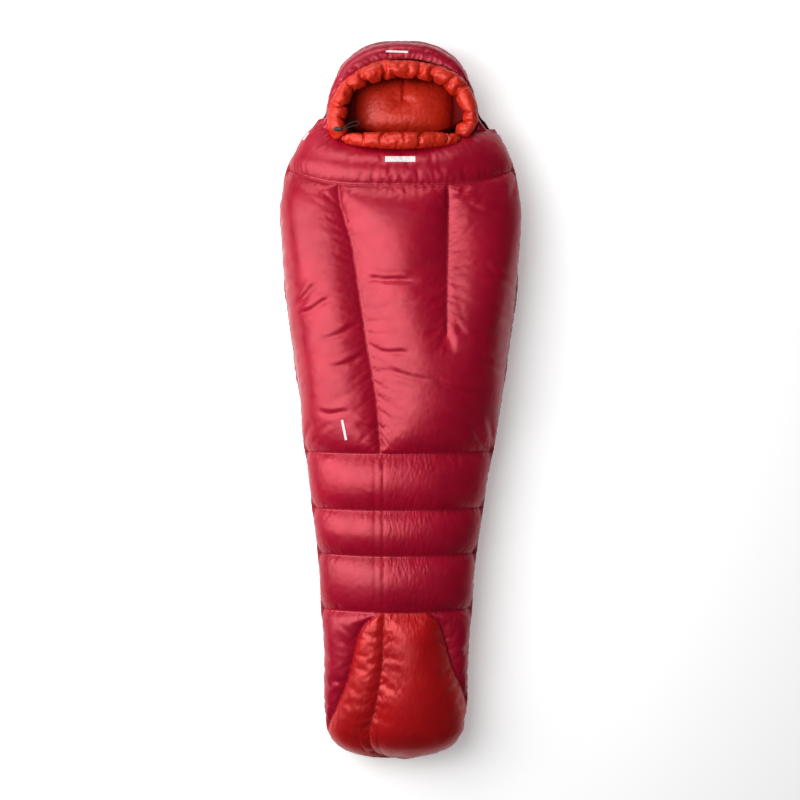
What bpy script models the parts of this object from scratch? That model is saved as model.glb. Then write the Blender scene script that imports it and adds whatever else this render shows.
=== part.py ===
"""Mummy sleeping bag for mountain use, lying flat on its back with the side zip closed.

Frame: +Y to the hood, -Y to the feet, +X to the zip side, +Z up, metres. The bag lies on z = 0.
The quilted wall is a thick tube cut into separate down chambers. The corner of the cover that the
zip frees folds back about a straight diagonal line, so the chambers on that line are two solids.
"""
import math

import bmesh
import bpy
from mathutils import Vector

# driving dimensions, in metres and degrees
SEAM_Z = 0.100        # height of the side seam and of the zip
WALL = 0.040          # loft of one quilted wall
LINING = 0.0010       # thickness of a lining panel
GAP = 0.0005          # half of the clearance between two neighbouring solids
DIP = 0.010           # how far a seam sinks below the crown of its chamber
ZIP_HALF = 0.020      # half height of the valley that holds the zip
ROUND_TOP = 0.87      # section exponents: 1 is an ellipse, smaller is squarer
ROUND_BOTTOM = 0.62
FLAT_PRESS = 0.006    # how far the underside is pressed flat on the ground

# y and half width of the outline, head to foot
OUTLINE = [(1.075, 0.000), (1.074, 0.022), (1.065, 0.085), (1.040, 0.137), (1.000, 0.181),
           (0.930, 0.212),
           (0.860, 0.232), (0.823, 0.258), (0.787, 0.288), (0.750, 0.311), (0.700, 0.336),
           (0.640, 0.352), (0.550, 0.365), (0.430, 0.360), (0.320, 0.351), (0.210, 0.338),
           (0.100, 0.321), (0.000, 0.306), (-0.110, 0.289), (-0.190, 0.271), (-0.330, 0.252),
           (-0.470, 0.234), (-0.620, 0.224), (-0.760, 0.216), (-0.910, 0.212), (-0.980, 0.203),
           (-1.015, 0.189), (-1.050, 0.149), (-1.067, 0.090), (-1.074, 0.035), (-1.075, 0.000)]
# y and height of the top surface
CROWN = [(1.075, 0.115), (1.060, 0.140), (1.030, 0.163), (0.980, 0.180), (0.900, 0.190),
         (0.820, 0.205), (0.760, 0.225), (0.700, 0.244), (0.600, 0.258), (0.300, 0.260),
         (0.000, 0.256), (-0.200, 0.248), (-0.450, 0.236), (-0.650, 0.228), (-0.850, 0.222),
         (-0.980, 0.208), (-1.030, 0.185), (-1.060, 0.150), (-1.075, 0.118)]
# y and sideways drift of the centre line
DRIFT = [(0.000, 0.000), (-0.250, -0.010), (-0.700, -0.014), (-1.075, -0.018)]

NECK_Y = (0.758, 0.040)         # free neck edge of the cover: middle, and rise at the sides
YOKE_Y = (0.646, 0.040)         # seam under the chest yoke, the same way
LEG_SEAMS = (-0.162, -0.330, -0.465, -0.631)
BACK_SEAMS = (0.805, 0.560, 0.320, 0.080, -0.162, -0.465, -0.631)
TOE_Y = -1.075
TIP_Y = 1.075
LEFT_SEAM = (113.0, 99.0)       # angles of the two long chest seams, yoke end and hip end
RIGHT_SEAM = (72.0, 61.0)

ZIP_END = (0.207, -0.465)       # foot end of the zip, which is also where the fold line starts
ZIP_SLOPE = 0.172               # sideways run per metre of the straight stretch
ZIP_BEND_Y = 0.160              # where the straight stretch meets the arc
ZIP_RADIUS = 1.500
ZIP_TOP_Y = 0.798
FOLD_TOP = (-0.060, 0.755)      # head end of the fold line, on the cover's neck edge
FOLD_Z = 0.262

HOOD_HINGE = (0.0, 0.805, 0.100)
HOOD_Y = 0.8065
HOOD_CENTRE = (0.005, 0.860)
HOOD_TOP = 0.180
HOOD_ENDS = (-9.5, 189.5)
MUFF_HALF = (0.205, 0.145)      # half sizes of the ring that the face muff lies in
MUFF_R = 0.022
COLLAR_R = 0.019

COIL_GAP = 0.0013               # from the zip's centre line to each half of the coil
COIL_TALL = 0.0027
COIL_THICK = 0.0030
TAPE_THICK = 0.0008
TAPE_TALL = 0.0165
SLIDER_LONG = 0.016
SLIDER_TALL = 0.0110
PLATE_NEAR = 0.0021
PLATE_FAR = 0.0036
POST_HALF = 0.0008
RING_OUT = 0.0056               # the puller's pivot bar, outwards from the zip's centre line
RING_LONG = 0.0100
RING_HALF = 0.0042
RING_WIRE = 0.0010
TAB_LONG = 0.038

LOCK_AT = (-0.185, 0.797, 0.196)
LOCK_R = 0.0068
LOCK_LONG = 0.018
BORE_R = 0.0048
BUTTON_R = 0.0045
CORD_R = 0.0014

SHELL = (0.42, 0.010, 0.040)
DARK_SHELL = (0.30, 0.006, 0.028)
ORANGE = (0.62, 0.040, 0.022)
BLACK = (0.015, 0.015, 0.018)
METAL = (0.45, 0.44, 0.42)
WHITE = (0.80, 0.80, 0.78)


def clear_scene():
    for ob in list(bpy.data.objects):
        bpy.data.objects.remove(ob, do_unlink=True)


def lerp(a, b, t):
    return a + (b - a) * t


def table(rows, y):
    if y >= rows[0][0]:
        return rows[0][1]
    for (y0, v0), (y1, v1) in zip(rows, rows[1:]):
        if y >= y1:
            return lerp(v0, v1, (y0 - y) / (y0 - y1))
    return rows[-1][1]


def upper_level(y, right):
    """Height at which the upper half begins: higher over the zip's valley."""
    return SEAM_Z + (ZIP_HALF if right and y > ZIP_END[1] else GAP)


def lower_level(y, right):
    return SEAM_Z - (ZIP_HALF if right and y > ZIP_END[1] else GAP)


def top_point(y, angle, inset):
    """Point of the upper half, at an angle from the right side seam, below the shell by inset."""
    c = math.cos(angle)
    s = abs(math.sin(angle))
    wide = max(table(OUTLINE, y) - inset, 0.0004 if inset <= DIP else 0.012)
    low = upper_level(y, c > 0)
    high = max(table(CROWN, y) - inset, low + 0.002)
    x = table(DRIFT, y) + wide * math.copysign(abs(c) ** ROUND_TOP, c)
    return Vector((x, y, low + (high - low) * s ** ROUND_TOP))


def bottom_point(y, angle, inset):
    """Point of the lower half. The outer surface is pressed flat on z = 0."""
    c = math.cos(angle)
    s = abs(math.sin(angle))
    wide = max(table(OUTLINE, y) - inset, 0.0004 if inset <= DIP else 0.012)
    low = lower_level(y, c > 0)
    x = table(DRIFT, y) + wide * math.copysign(abs(c) ** ROUND_BOTTOM, c)
    drop = low - inset + (FLAT_PRESS if inset <= DIP else 0.0)
    floor = inset if inset > DIP else 0.0
    return Vector((x, y, max(low - drop * s ** ROUND_BOTTOM, floor)))


def closed(bm):
    """Face every side outward."""
    bmesh.ops.recalc_face_normals(bm, faces=bm.faces)
    if bm.calc_volume(signed=True) < 0:
        bmesh.ops.reverse_faces(bm, faces=bm.faces)
    return bm


def slab(outer, inner):
    """Closed solid between two grids of points."""
    bm = bmesh.new()
    rows = len(outer)
    cols = len(outer[0])
    a = [[bm.verts.new(p) for p in row] for row in outer]
    b = [[bm.verts.new(p) for p in row] for row in inner]
    for i in range(rows - 1):
        for j in range(cols - 1):
            bm.faces.new((a[i][j], a[i][j + 1], a[i + 1][j + 1], a[i + 1][j]))
            bm.faces.new((b[i][j], b[i + 1][j], b[i + 1][j + 1], b[i][j + 1]))
    for j in range(cols - 1):
        bm.faces.new((a[0][j], b[0][j], b[0][j + 1], a[0][j + 1]))
        bm.faces.new((a[-1][j], a[-1][j + 1], b[-1][j + 1], b[-1][j]))
    for i in range(rows - 1):
        bm.faces.new((a[i][0], a[i + 1][0], b[i + 1][0], b[i][0]))
        bm.faces.new((a[i][-1], b[i][-1], b[i + 1][-1], a[i + 1][-1]))
    bmesh.ops.triangulate(bm, faces=[f for f in bm.faces if len(f.verts) == 4])
    return closed(bm)


def make(name, bm, colour, rough=0.5, metal=0.0, origin=(0.0, 0.0, 0.0)):
    """Turn a bmesh in shared coordinates into an object with its origin on its joint axis."""
    mesh = bpy.data.meshes.new(name)
    bmesh.ops.translate(bm, verts=bm.verts, vec=-Vector(origin))
    bm.to_mesh(mesh)
    bm.free()
    ob = bpy.data.objects.new(name, mesh)
    ob.location = origin
    bpy.context.collection.objects.link(ob)
    mat = bpy.data.materials.new("mat_" + name)
    mat.use_nodes = True
    bsdf = mat.node_tree.nodes["Principled BSDF"]
    bsdf.inputs["Base Color"].default_value = (*colour, 1.0)
    bsdf.inputs["Roughness"].default_value = rough
    bsdf.inputs["Metallic"].default_value = metal
    mesh.materials.append(mat)
    return ob


def curved(pair, angle):
    """Seam that rises from pair[0] in the middle by pair[1] at the sides."""
    return pair[0] + pair[1] * math.cos(angle) ** 2


def chamber(surface, y_of, angles, across, stations, wall=WALL, dip=DIP, y_stop=None):
    """Solid of one down chamber: y_of(angle, v), angles(v) give its edges."""
    outer = []
    inner = []
    for v in stations:
        right, left = angles(v)
        row_out = []
        row_in = []
        for j in range(across + 1):
            angle = lerp(right, left, j / across)
            y = y_of(angle, v)
            sink = dip * abs(2 * v - 1) ** 6
            row_out.append(surface(y, angle, sink))
            y_in = y if y_stop is None else y_stop(y)
            row_in.append(surface(y_in, angle, wall))
        outer.append(row_out)
        inner.append(row_in)
    return slab(outer, inner)


PILLOW = (0.0, 0.08, 0.30, 0.50, 0.70, 0.92, 1.0)
FULL = (0.0, math.pi)


def band(y_top, y_bottom):
    """Straight band of the tube, a little short of both seams."""
    return lambda angle, v: lerp(y_top - GAP, y_bottom + GAP, v)


def fold_normal():
    dx = FOLD_TOP[0] - ZIP_END[0]
    dy = FOLD_TOP[1] - ZIP_END[1]
    return Vector((dy, -dx, 0.0)).normalized()


def folded_half(bm, flap):
    """Keep the part of a solid on one side of the fold line."""
    side = 1.0 if flap else -1.0
    normal = fold_normal()
    point = Vector((*ZIP_END, 0.0)) + normal * side * GAP
    cut = bmesh.ops.bisect_plane(bm, geom=bm.verts[:] + bm.edges[:] + bm.faces[:],
                                 plane_co=point, plane_no=normal * side, clear_inner=True)
    edges = [g for g in cut["geom_cut"] if isinstance(g, bmesh.types.BMEdge)]
    bmesh.ops.triangle_fill(bm, edges=edges, use_beauty=True)
    bmesh.ops.triangulate(bm, faces=[f for f in bm.faces if len(f.verts) > 3])
    bmesh.ops.remove_doubles(bm, verts=bm.verts, dist=1e-6)
    return closed(bm)


FLAP_ORIGIN = (ZIP_END[0], ZIP_END[1], FOLD_Z)


def both_halves(names, build, colour):
    make(names[0], folded_half(build(), False), colour)
    make(names[1], folded_half(build(), True), colour, origin=FLAP_ORIGIN)


def back_quilt():
    for i, (high, low) in enumerate(zip(BACK_SEAMS, BACK_SEAMS[1:])):
        bm = chamber(bottom_point, band(high, low), lambda v: FULL, 16, PILLOW)
        make("back_baffle_%d" % (i + 1), bm, DARK_SHELL)


def toe_stop(y):
    """The inner surface stops short of the toe by the wall's loft."""
    start = LEG_SEAMS[3]
    return lerp(start, TOE_Y + WALL, (start - y) / (start - TOE_Y))


def toe_stations():
    return (0.0, 0.06, 0.25, 0.45, 0.60, 0.64, 0.78, 0.865, 0.93, 0.97,
            0.9978, 1.0)


def footbox():
    rng = band(LEG_SEAMS[3], TOE_Y - GAP)
    sole = chamber(bottom_point, rng, lambda v: FULL, 16, toe_stations(), dip=0.0,
                   y_stop=toe_stop)
    make("footbox_sole", sole, DARK_SHELL)

    def panel_edges(v):
        t = min(v / 0.64, 1.0)
        return (math.radians(lerp(63.0, 0.0, t)), math.radians(lerp(106.0, 180.0, t)))

    panel = chamber(top_point, rng, panel_edges, 14, toe_stations(), dip=0.0, y_stop=toe_stop)
    make("footbox_top", panel, ORANGE)
    for name, left in (("footbox_gusset_right", False), ("footbox_gusset_left", True)):
        def edges(v, left=left):
            right_edge, left_edge = panel_edges(v)
            if left:
                return (left_edge + 0.006, math.pi)
            return (0.0, right_edge - 0.006)
        bm = chamber(top_point, rng, edges, 5, toe_stations()[:5], dip=0.0, y_stop=toe_stop)
        make(name, bm, DARK_SHELL)


def cover():
    """Yoke, long chest chambers and leg baffles of the top quilt."""
    def yoke_y(angle, v):
        return lerp(curved(NECK_Y, angle), curved(YOKE_Y, angle) + GAP, v)

    def chest_y(angle, v):
        return lerp(curved(YOKE_Y, angle) - GAP, LEG_SEAMS[0] + GAP, v)

    def seam(pair, v):
        return math.radians(lerp(pair[0], pair[1], v))

    long_run = (0.0, 0.04, 0.15, 0.32, 0.5, 0.68, 0.85, 0.96, 1.0)
    both_halves(("yoke_left", "yoke_right"),
                lambda: chamber(top_point, yoke_y, lambda v: FULL, 18, PILLOW), SHELL)
    left = chamber(top_point, chest_y, lambda v: (seam(LEFT_SEAM, v) + 0.003, math.pi), 7,
                   long_run)
    make("chest_left", left, SHELL)
    right = chamber(top_point, chest_y, lambda v: (0.0, seam(RIGHT_SEAM, v) - 0.003), 7,
                    long_run)
    make("chest_right", right, SHELL, origin=FLAP_ORIGIN)
    both_halves(("chest_centre_base", "chest_centre_flap"),
                lambda: chamber(top_point, chest_y,
                                lambda v: (seam(RIGHT_SEAM, v), seam(LEFT_SEAM, v)), 5,
                                long_run), SHELL)
    for i in (0, 1):
        high, low = LEG_SEAMS[i], LEG_SEAMS[i + 1]
        both_halves(("leg_baffle_%d_base" % (i + 1), "leg_baffle_%d_flap" % (i + 1)),
                    lambda: chamber(top_point, band(high, low), lambda v: FULL, 16, PILLOW),
                    SHELL)
    last = chamber(top_point, band(LEG_SEAMS[2], LEG_SEAMS[3]), lambda v: FULL, 16, PILLOW)
    make("leg_baffle_3", last, SHELL)


def linings():
    """Thin inner panels, one for the back and two for the cover."""
    near = WALL + 0.0050
    far = near + LINING

    def build(surface, y_top):
        outer = []
        inner = []
        stations = [lerp(y_top, TOE_Y + WALL + 0.012, i / 14) for i in range(15)]
        stations += [ZIP_END[1] + 0.0006, ZIP_END[1] - 0.0006]
        for y in sorted(stations, reverse=True):
            angles = [math.pi * j / 14 for j in range(15)]
            outer.append([surface(y, a, near) for a in angles])
            inner.append([surface(y, a, far) for a in angles])
        return slab(outer, inner)

    make("lining_back", build(bottom_point, BACK_SEAMS[0] - 0.004), ORANGE)
    both_halves(("lining_cover_base", "lining_cover_flap"),
                lambda: build(top_point, NECK_Y[0] - 0.004), ORANGE)


def sweep(path, ring, caps=None):
    """Closed solid from a ring of (side, up) offsets carried along a path, ends capped.

    caps splits a concave ring into convex faces.
    """
    bm = bmesh.new()
    loops = []
    for i, p in enumerate(path):
        before = path[max(i - 1, 0)]
        after = path[min(i + 1, len(path) - 1)]
        along = (after - before).normalized()
        side = along.cross(Vector((0.0, 0.0, 1.0))).normalized()
        up = side.cross(along).normalized()
        loops.append([bm.verts.new(p + side * a + up * b) for a, b in ring])
    count = len(ring)
    for lo, hi in zip(loops, loops[1:]):
        for k in range(count):
            bm.faces.new((lo[k], lo[(k + 1) % count], hi[(k + 1) % count], hi[k]))
    for face in caps or [range(count)]:
        bm.faces.new([loops[0][k] for k in face])
        bm.faces.new([loops[-1][k] for k in reversed(face)])
    if caps is None:
        bmesh.ops.triangulate(bm, faces=[f for f in bm.faces if len(f.verts) > 3])
    return closed(bm)


def round_ring(r_side, r_up, count):
    turns = [2 * math.pi * k / count for k in range(count)]
    return [(r_side * math.cos(t), r_up * math.sin(t)) for t in turns]


def block(side0, side1, up0, up1):
    return [(side0, up0), (side1, up0), (side1, up1), (side0, up1)]


def zip_arc_centre():
    bend_x = ZIP_END[0] + ZIP_SLOPE * (ZIP_BEND_Y - ZIP_END[1])
    norm = math.hypot(1.0, ZIP_SLOPE)
    return (bend_x - ZIP_RADIUS / norm, ZIP_BEND_Y + ZIP_RADIUS * ZIP_SLOPE / norm)


def zip_point(y, out=0.0, z=SEAM_Z):
    """Point on the zip's centre line, moved outwards by out."""
    cx, cy = zip_arc_centre()
    if y <= ZIP_BEND_Y:
        norm = math.hypot(1.0, ZIP_SLOPE)
        x = ZIP_END[0] + ZIP_SLOPE * (y - ZIP_END[1])
        return Vector((x + out / norm, y - out * ZIP_SLOPE / norm, z))
    x = cx + math.sqrt(ZIP_RADIUS ** 2 - (y - cy) ** 2)
    away = Vector((x - cx, y - cy, 0.0)).normalized()
    return Vector((x, y, z)) + away * out


def zip_path(y0, y1, count, out=0.0, z=SEAM_Z):
    return [zip_point(lerp(y0, y1, i / count), out, z) for i in range(count + 1)]


def zip_chain():
    half = TAPE_THICK / 2
    coil = COIL_THICK / 2
    lo = ZIP_END[1] + 0.0070
    run = zip_path(lo, ZIP_TOP_Y, 22)
    tape_lo = COIL_GAP + COIL_TALL + 0.0003
    make("zip_tape_upper", sweep(run, block(-half, half, tape_lo, TAPE_TALL)), BLACK,
         origin=FLAP_ORIGIN)
    make("zip_tape_lower", sweep(run, block(-half, half, -TAPE_TALL, -tape_lo)), BLACK)
    teeth = zip_path(lo + 0.006, ZIP_TOP_Y - 0.004, 22)
    make("zip_coil_upper", sweep(teeth, block(-coil, coil, COIL_GAP, COIL_GAP + COIL_TALL)),
         BLACK, origin=FLAP_ORIGIN)
    make("zip_coil_lower", sweep(teeth, block(-coil, coil, -COIL_GAP - COIL_TALL, -COIL_GAP)),
         BLACK)
    stop = zip_path(ZIP_END[1] + 0.0010, ZIP_END[1] + 0.0060, 1)
    make("zip_stop_bottom", sweep(stop, block(-0.002, 0.002, -0.006, 0.006)), METAL, 0.3, 1.0)
    top = zip_path(ZIP_TOP_Y + 0.0005, ZIP_TOP_Y + 0.005, 1)
    make("zip_stop_top", sweep(top, block(-0.002, 0.002, -0.006, -0.0012)), METAL, 0.3, 1.0)
    tube = zip_path(ZIP_END[1] + 0.060, ZIP_TOP_Y - 0.020, 20, -0.026, SEAM_Z + 0.0105)
    make("draft_tube", sweep(tube, round_ring(0.014, 0.0088, 10)), ORANGE, origin=FLAP_ORIGIN)


def slider(name, y, forward, origin):
    """Slider body, bridge and puller at one place on the zip. forward is the puller's way."""
    step = 0.004
    here = zip_point(y)
    along = (zip_point(y + step) - zip_point(y - step)).normalized()
    out = along.cross(Vector((0.0, 0.0, 1.0))).normalized()
    half = SLIDER_LONG / 2
    tall = SLIDER_TALL / 2
    a, b, p = PLATE_NEAR, PLATE_FAR, POST_HALF
    profile = [(-b, -tall), (-a, -tall), (-a, -p), (a, -p), (a, -tall), (b, -tall),
               (b, tall), (a, tall), (a, p), (-a, p), (-a, tall), (-b, tall)]
    caps = [(0, 1, 2, 9, 10, 11), (2, 3, 8, 9), (3, 4, 5, 6, 7, 8)]
    body = sweep([here - along * half, here + along * half], profile, caps)
    make("slider_%s" % name, body, METAL, 0.3, 1.0, origin)
    make("bridge_%s" % name, staple(here, along, out), METAL, 0.3, 1.0, origin)
    pivot = here + out * RING_OUT
    way = along * forward
    make("puller_ring_%s" % name, puller_ring(pivot, way), METAL, 0.3, 1.0, tuple(pivot))
    start = pivot + way * (RING_LONG + RING_WIRE + 0.0003)
    tab = [start, start + way * 0.004, start + way * (TAB_LONG - 0.006), start + way * TAB_LONG]
    widths = (0.0026, 0.0036, 0.0052, 0.0040)
    make("puller_tab_%s" % name, tapered(tab, widths, 0.0011), BLACK, 0.6, 0.0, tuple(pivot))


def staple(here, along, out):
    """Bridge over the slider's outer plate: two legs and a bar."""
    reach, thick, base, high = 0.0058, 0.0012, PLATE_FAR + 0.0002, 0.0092
    profile = [(-reach, base), (-reach, high), (reach, high), (reach, base),
               (reach - thick, base), (reach - thick, high - thick),
               (-reach + thick, high - thick), (-reach + thick, base)]
    bm = bmesh.new()
    low = [bm.verts.new(here + along * u + out * v + Vector((0, 0, -0.0015))) for u, v in profile]
    high_ring = [bm.verts.new(v.co + Vector((0, 0, 0.003))) for v in low]
    count = len(profile)
    for k in range(count):
        bm.faces.new((low[k], low[(k + 1) % count], high_ring[(k + 1) % count], high_ring[k]))
    for ring in (low, high_ring):
        for quad in ((0, 1, 6, 7), (1, 2, 5, 6), (2, 3, 4, 5)):
            bm.faces.new([ring[q] for q in quad])
    return closed(bm)


def puller_ring(pivot, way):
    """Closed rectangular ring of square wire around the pivot bar."""
    up = Vector((0.0, 0.0, 1.0))
    depth = way.cross(up).normalized()
    corners = [(0.0, -1), (RING_LONG, -1), (RING_LONG, 1), (0.0, 1)]
    bm = bmesh.new()
    rings = []
    for u, s in corners:
        du = -1 if u == 0.0 else 1
        ring = []
        for ku, kd in ((-1, -1), (1, -1), (1, 1), (-1, 1)):
            at = pivot + way * (u + du * ku * RING_WIRE) + depth * kd * RING_WIRE
            ring.append(bm.verts.new(at + up * s * (RING_HALF + ku * RING_WIRE)))
        rings.append(ring)
    for i in range(4):
        now, nxt = rings[i], rings[(i + 1) % 4]
        for k in range(4):
            bm.faces.new((now[k], now[(k + 1) % 4], nxt[(k + 1) % 4], nxt[k]))
    return closed(bm)


def tapered(path, halves, thick):
    """Flat bar standing in a vertical plane, with a half height for each station."""
    bm = bmesh.new()
    way = (path[-1] - path[0]).normalized()
    depth = way.cross(Vector((0.0, 0.0, 1.0))).normalized() * thick
    loops = []
    for p, h in zip(path, halves):
        up = Vector((0.0, 0.0, h))
        loops.append([bm.verts.new(q) for q in
                      (p - depth - up, p + depth - up, p + depth + up, p - depth + up)])
    for lo, hi in zip(loops, loops[1:]):
        for k in range(4):
            bm.faces.new((lo[k], lo[(k + 1) % 4], hi[(k + 1) % 4], hi[k]))
    bm.faces.new(loops[0])
    bm.faces.new(list(reversed(loops[-1])))
    return closed(bm)


def outline_radius(turn):
    """Distance from the hood's centre to the outline along one heading, by halving."""
    lo, hi = 0.0, 0.4
    for _ in range(30):
        mid = (lo + hi) / 2
        x = HOOD_CENTRE[0] + mid * math.cos(turn)
        y = HOOD_CENTRE[1] + mid * math.sin(turn)
        inside = y < TIP_Y and abs(x - table(DRIFT, y)) < table(OUTLINE, y)
        lo, hi = (mid, hi) if inside else (lo, mid)
    return lo


def muff_radius(turn):
    c = math.cos(turn) / MUFF_HALF[0]
    s = max(math.sin(turn), 0.0) / MUFF_HALF[1]
    return 1.0 / math.hypot(c, s)


def hood_point(turn, s, inset):
    """Point of the hood's upper wall: s runs from the side seam to the muff."""
    ro = outline_radius(turn) - inset
    ri = muff_radius(turn)
    angle = s * math.pi / 2
    low = SEAM_Z + GAP
    r = ri + (ro - ri) * math.cos(angle) ** ROUND_TOP
    z = low + (HOOD_TOP - inset - low) * math.sin(angle) ** ROUND_TOP
    x = HOOD_CENTRE[0] + r * math.cos(turn)
    return Vector((x, HOOD_CENTRE[1] + r * math.sin(turn), z))


def hood():
    parts = (("hood_right", HOOD_ENDS[0], 50.0, 7), ("hood_crown", 50.3, 129.7, 9),
             ("hood_left", 130.0, HOOD_ENDS[1], 7))
    rows = (0.0, 0.2, 0.4, 0.6, 0.8, 0.998)
    for name, start, end, count in parts:
        turns = [math.radians(lerp(start, end, i / count)) for i in range(count + 1)]
        outer = [[hood_point(t, s, 0.0) for s in rows] for t in turns]
        inner = [[hood_point(t, s, 0.030) for s in rows] for t in turns]
        make(name, slab(outer, inner), DARK_SHELL, origin=HOOD_HINGE)

    def stop(y):
        return lerp(HOOD_Y, TIP_Y - WALL, (y - HOOD_Y) / (TIP_Y - HOOD_Y))

    steps = (0.0, 0.2, 0.42, 0.62, 0.76, 0.87, 0.95, 0.9963, 1.0)
    pad = chamber(bottom_point, lambda a, v: lerp(HOOD_Y, TIP_Y, v), lambda v: FULL, 16, steps,
                  dip=0.0, y_stop=stop)
    make("hood_back", pad, DARK_SHELL, origin=HOOD_HINGE)
    turns = [math.radians(lerp(-9.0, 189.0, i / 22)) for i in range(23)]
    ring = []
    for t in turns:
        r = muff_radius(t) - MUFF_R - 0.0050
        x = HOOD_CENTRE[0] + r * math.cos(t)
        ring.append(Vector((x, HOOD_CENTRE[1] + r * math.sin(t), 0.165)))
    make("face_muff", sweep(ring, round_ring(MUFF_R, MUFF_R, 10)), ORANGE, origin=HOOD_HINGE)
    make("hood_pillow", pillow(), ORANGE, origin=HOOD_HINGE)


def pillow():
    """Low cushion on the floor of the hood."""
    outer = []
    inner = []
    for i in range(9):
        u = -1 + 2 * i / 8
        row_out = []
        row_in = []
        for j in range(7):
            v = -1 + 2 * j / 6
            x = 0.012 + 0.125 * u * math.sqrt(1 - v * v / 2)
            y = 0.912 + 0.078 * v * math.sqrt(1 - u * u / 2)
            rise = (1 - u ** 4) * (1 - v ** 4)
            row_out.append(Vector((x, y, 0.0580 + 0.024 * rise)))
            row_in.append(Vector((x, y, 0.0545)))
        outer.append(row_out)
        inner.append(row_in)
    return slab(outer, inner)


def collar():
    """Quilted roll along the cover's neck edge."""
    path = []
    for i in range(15):
        x = lerp(-0.138, 0.158, i / 14)
        y = NECK_Y[0] + COLLAR_R + 0.0015 + 0.55 * x * x
        path.append(Vector((x, y, 0.200 - 0.9 * x * x)))
    both_halves(("collar_left", "collar_right"),
                lambda: sweep(path, round_ring(COLLAR_R, COLLAR_R, 10)), ORANGE)


def lathe(profile, base, axis, count=20):
    """Closed solid of revolution from (distance along axis, radius) pairs, axis to axis."""
    bm = bmesh.new()
    side = axis.orthogonal().normalized()
    other = axis.cross(side).normalized()
    loops = []
    for d, r in profile:
        if r == 0.0:
            loops.append([bm.verts.new(base + axis * d)])
            continue
        ring = []
        for k in range(count):
            t = 2 * math.pi * k / count
            spoke = side * math.cos(t) + other * math.sin(t)
            ring.append(bm.verts.new(base + axis * d + spoke * r))
        loops.append(ring)
    for lo, hi in zip(loops, loops[1:]):
        for k in range(count):
            a = lo[k % len(lo)], lo[(k + 1) % len(lo)]
            b = hi[(k + 1) % len(hi)], hi[k % len(hi)]
            corners = list(dict.fromkeys((*a, *b)))
            bm.faces.new(corners)
    return closed(bm)


def cord_lock():
    base = Vector(LOCK_AT) + Vector((LOCK_LONG / 2, 0.0, 0.0))
    axis = Vector((-1.0, 0.0, 0.0))
    deep = 0.006
    body = [(0.0, 0.0), (0.0, LOCK_R - 0.0012), (0.0012, LOCK_R), (LOCK_LONG - 0.001, LOCK_R),
            (LOCK_LONG, LOCK_R - 0.001), (LOCK_LONG, BORE_R), (deep, BORE_R), (deep, 0.0)]
    make("cord_lock", lathe(body, base, axis), BLACK, 0.45)
    knob = [(deep + 0.0045, 0.0), (deep + 0.0045, BUTTON_R), (LOCK_LONG + 0.0040, BUTTON_R),
            (LOCK_LONG + 0.0048, BUTTON_R - 0.0008), (LOCK_LONG + 0.0048, 0.0)]
    top = base + axis * (LOCK_LONG + 0.0048)
    make("lock_button", lathe(knob, base, axis), BLACK, 0.45, 0.0, tuple(top))


def drawcord():
    """Pull loop of the hood drawcord: out from the lock, round, and back to it."""
    start = Vector(LOCK_AT) + Vector((LOCK_LONG / 2 + 0.0018, 0.0, 0.0))
    route = [(0.000, -0.0022, 0.0), (0.006, -0.0020, 0.004), (0.014, 0.0010, 0.012),
             (0.024, 0.0045, 0.018), (0.036, 0.0075, 0.020), (0.046, 0.0095, 0.020),
             (0.0495, 0.0120, 0.020), (0.0490, 0.0155, 0.020), (0.046, 0.0180, 0.020),
             (0.036, 0.0175, 0.020), (0.024, 0.0140, 0.018), (0.014, 0.0085, 0.012),
             (0.006, 0.0035, 0.004), (0.000, 0.0024, 0.0)]
    curve = bpy.data.curves.new("drawcord_loop", "CURVE")
    curve.dimensions = "3D"
    curve.bevel_depth = CORD_R
    curve.bevel_resolution = 1
    curve.use_fill_caps = True
    line = curve.splines.new("POLY")
    line.points.add(len(route) - 1)
    for point, (x, y, z) in zip(line.points, route):
        point.co = (start.x + x, start.y + y, start.z + z, 1.0)
    ob = bpy.data.objects.new("drawcord_loop", curve)
    bpy.context.collection.objects.link(ob)
    mat = bpy.data.materials.new("mat_drawcord_loop")
    mat.use_nodes = True
    mat.node_tree.nodes["Principled BSDF"].inputs["Base Color"].default_value = (*BLACK, 1.0)
    curve.materials.append(mat)


def patch(point, rows, cols):
    """Thin label that follows a surface."""
    return slab([[point(r, c, -0.0014) for c in cols] for r in rows],
                [[point(r, c, -0.0006) for c in cols] for r in rows])


def labels():
    deg = math.radians
    five = [i / 4 for i in range(5)]

    def on_top(y0, y1, a0, a1, sink):
        def point(r, c, inset):
            return top_point(lerp(y0, y1, r), deg(lerp(a0, a1, c)), inset + sink)
        return point

    make("chest_label", patch(on_top(0.737, 0.706, 82.2, 96.4, 0.0), five, five), WHITE,
         origin=FLAP_ORIGIN)
    make("hip_label", patch(on_top(-0.060, -0.128, 121.0, 127.0, 0.0), five, five), WHITE)
    make("shoulder_label", patch(on_top(0.792, 0.772, 157.0, 163.0, -0.001), five, five), WHITE)
    make("hood_label", patch(lambda r, c, i: hood_point(deg(lerp(84.0, 101.0, r)),
                                                        lerp(0.40, 0.49, c), i), five, five),
         WHITE, origin=HOOD_HINGE)


def build():
    clear_scene()
    back_quilt()
    footbox()
    cover()
    linings()
    zip_chain()
    arc = (*zip_arc_centre(), SEAM_Z)
    slider("upper", ZIP_TOP_Y - 0.013, -1, arc)
    low = ZIP_END[1] + 0.020
    slider("lower", low, 1, tuple(zip_point(low)))
    hood()
    collar()
    cord_lock()
    drawcord()
    labels()


build()
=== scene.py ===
"""Looks of the mummy sleeping bag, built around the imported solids.

Each quilted skin is a fine grid. Its seam rows and columns are held down, the cloth between them
is cut larger than the seams and blown up by a short cloth simulation, which puffs the down
chambers and gathers the fabric along the seams.
"""
import math

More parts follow.
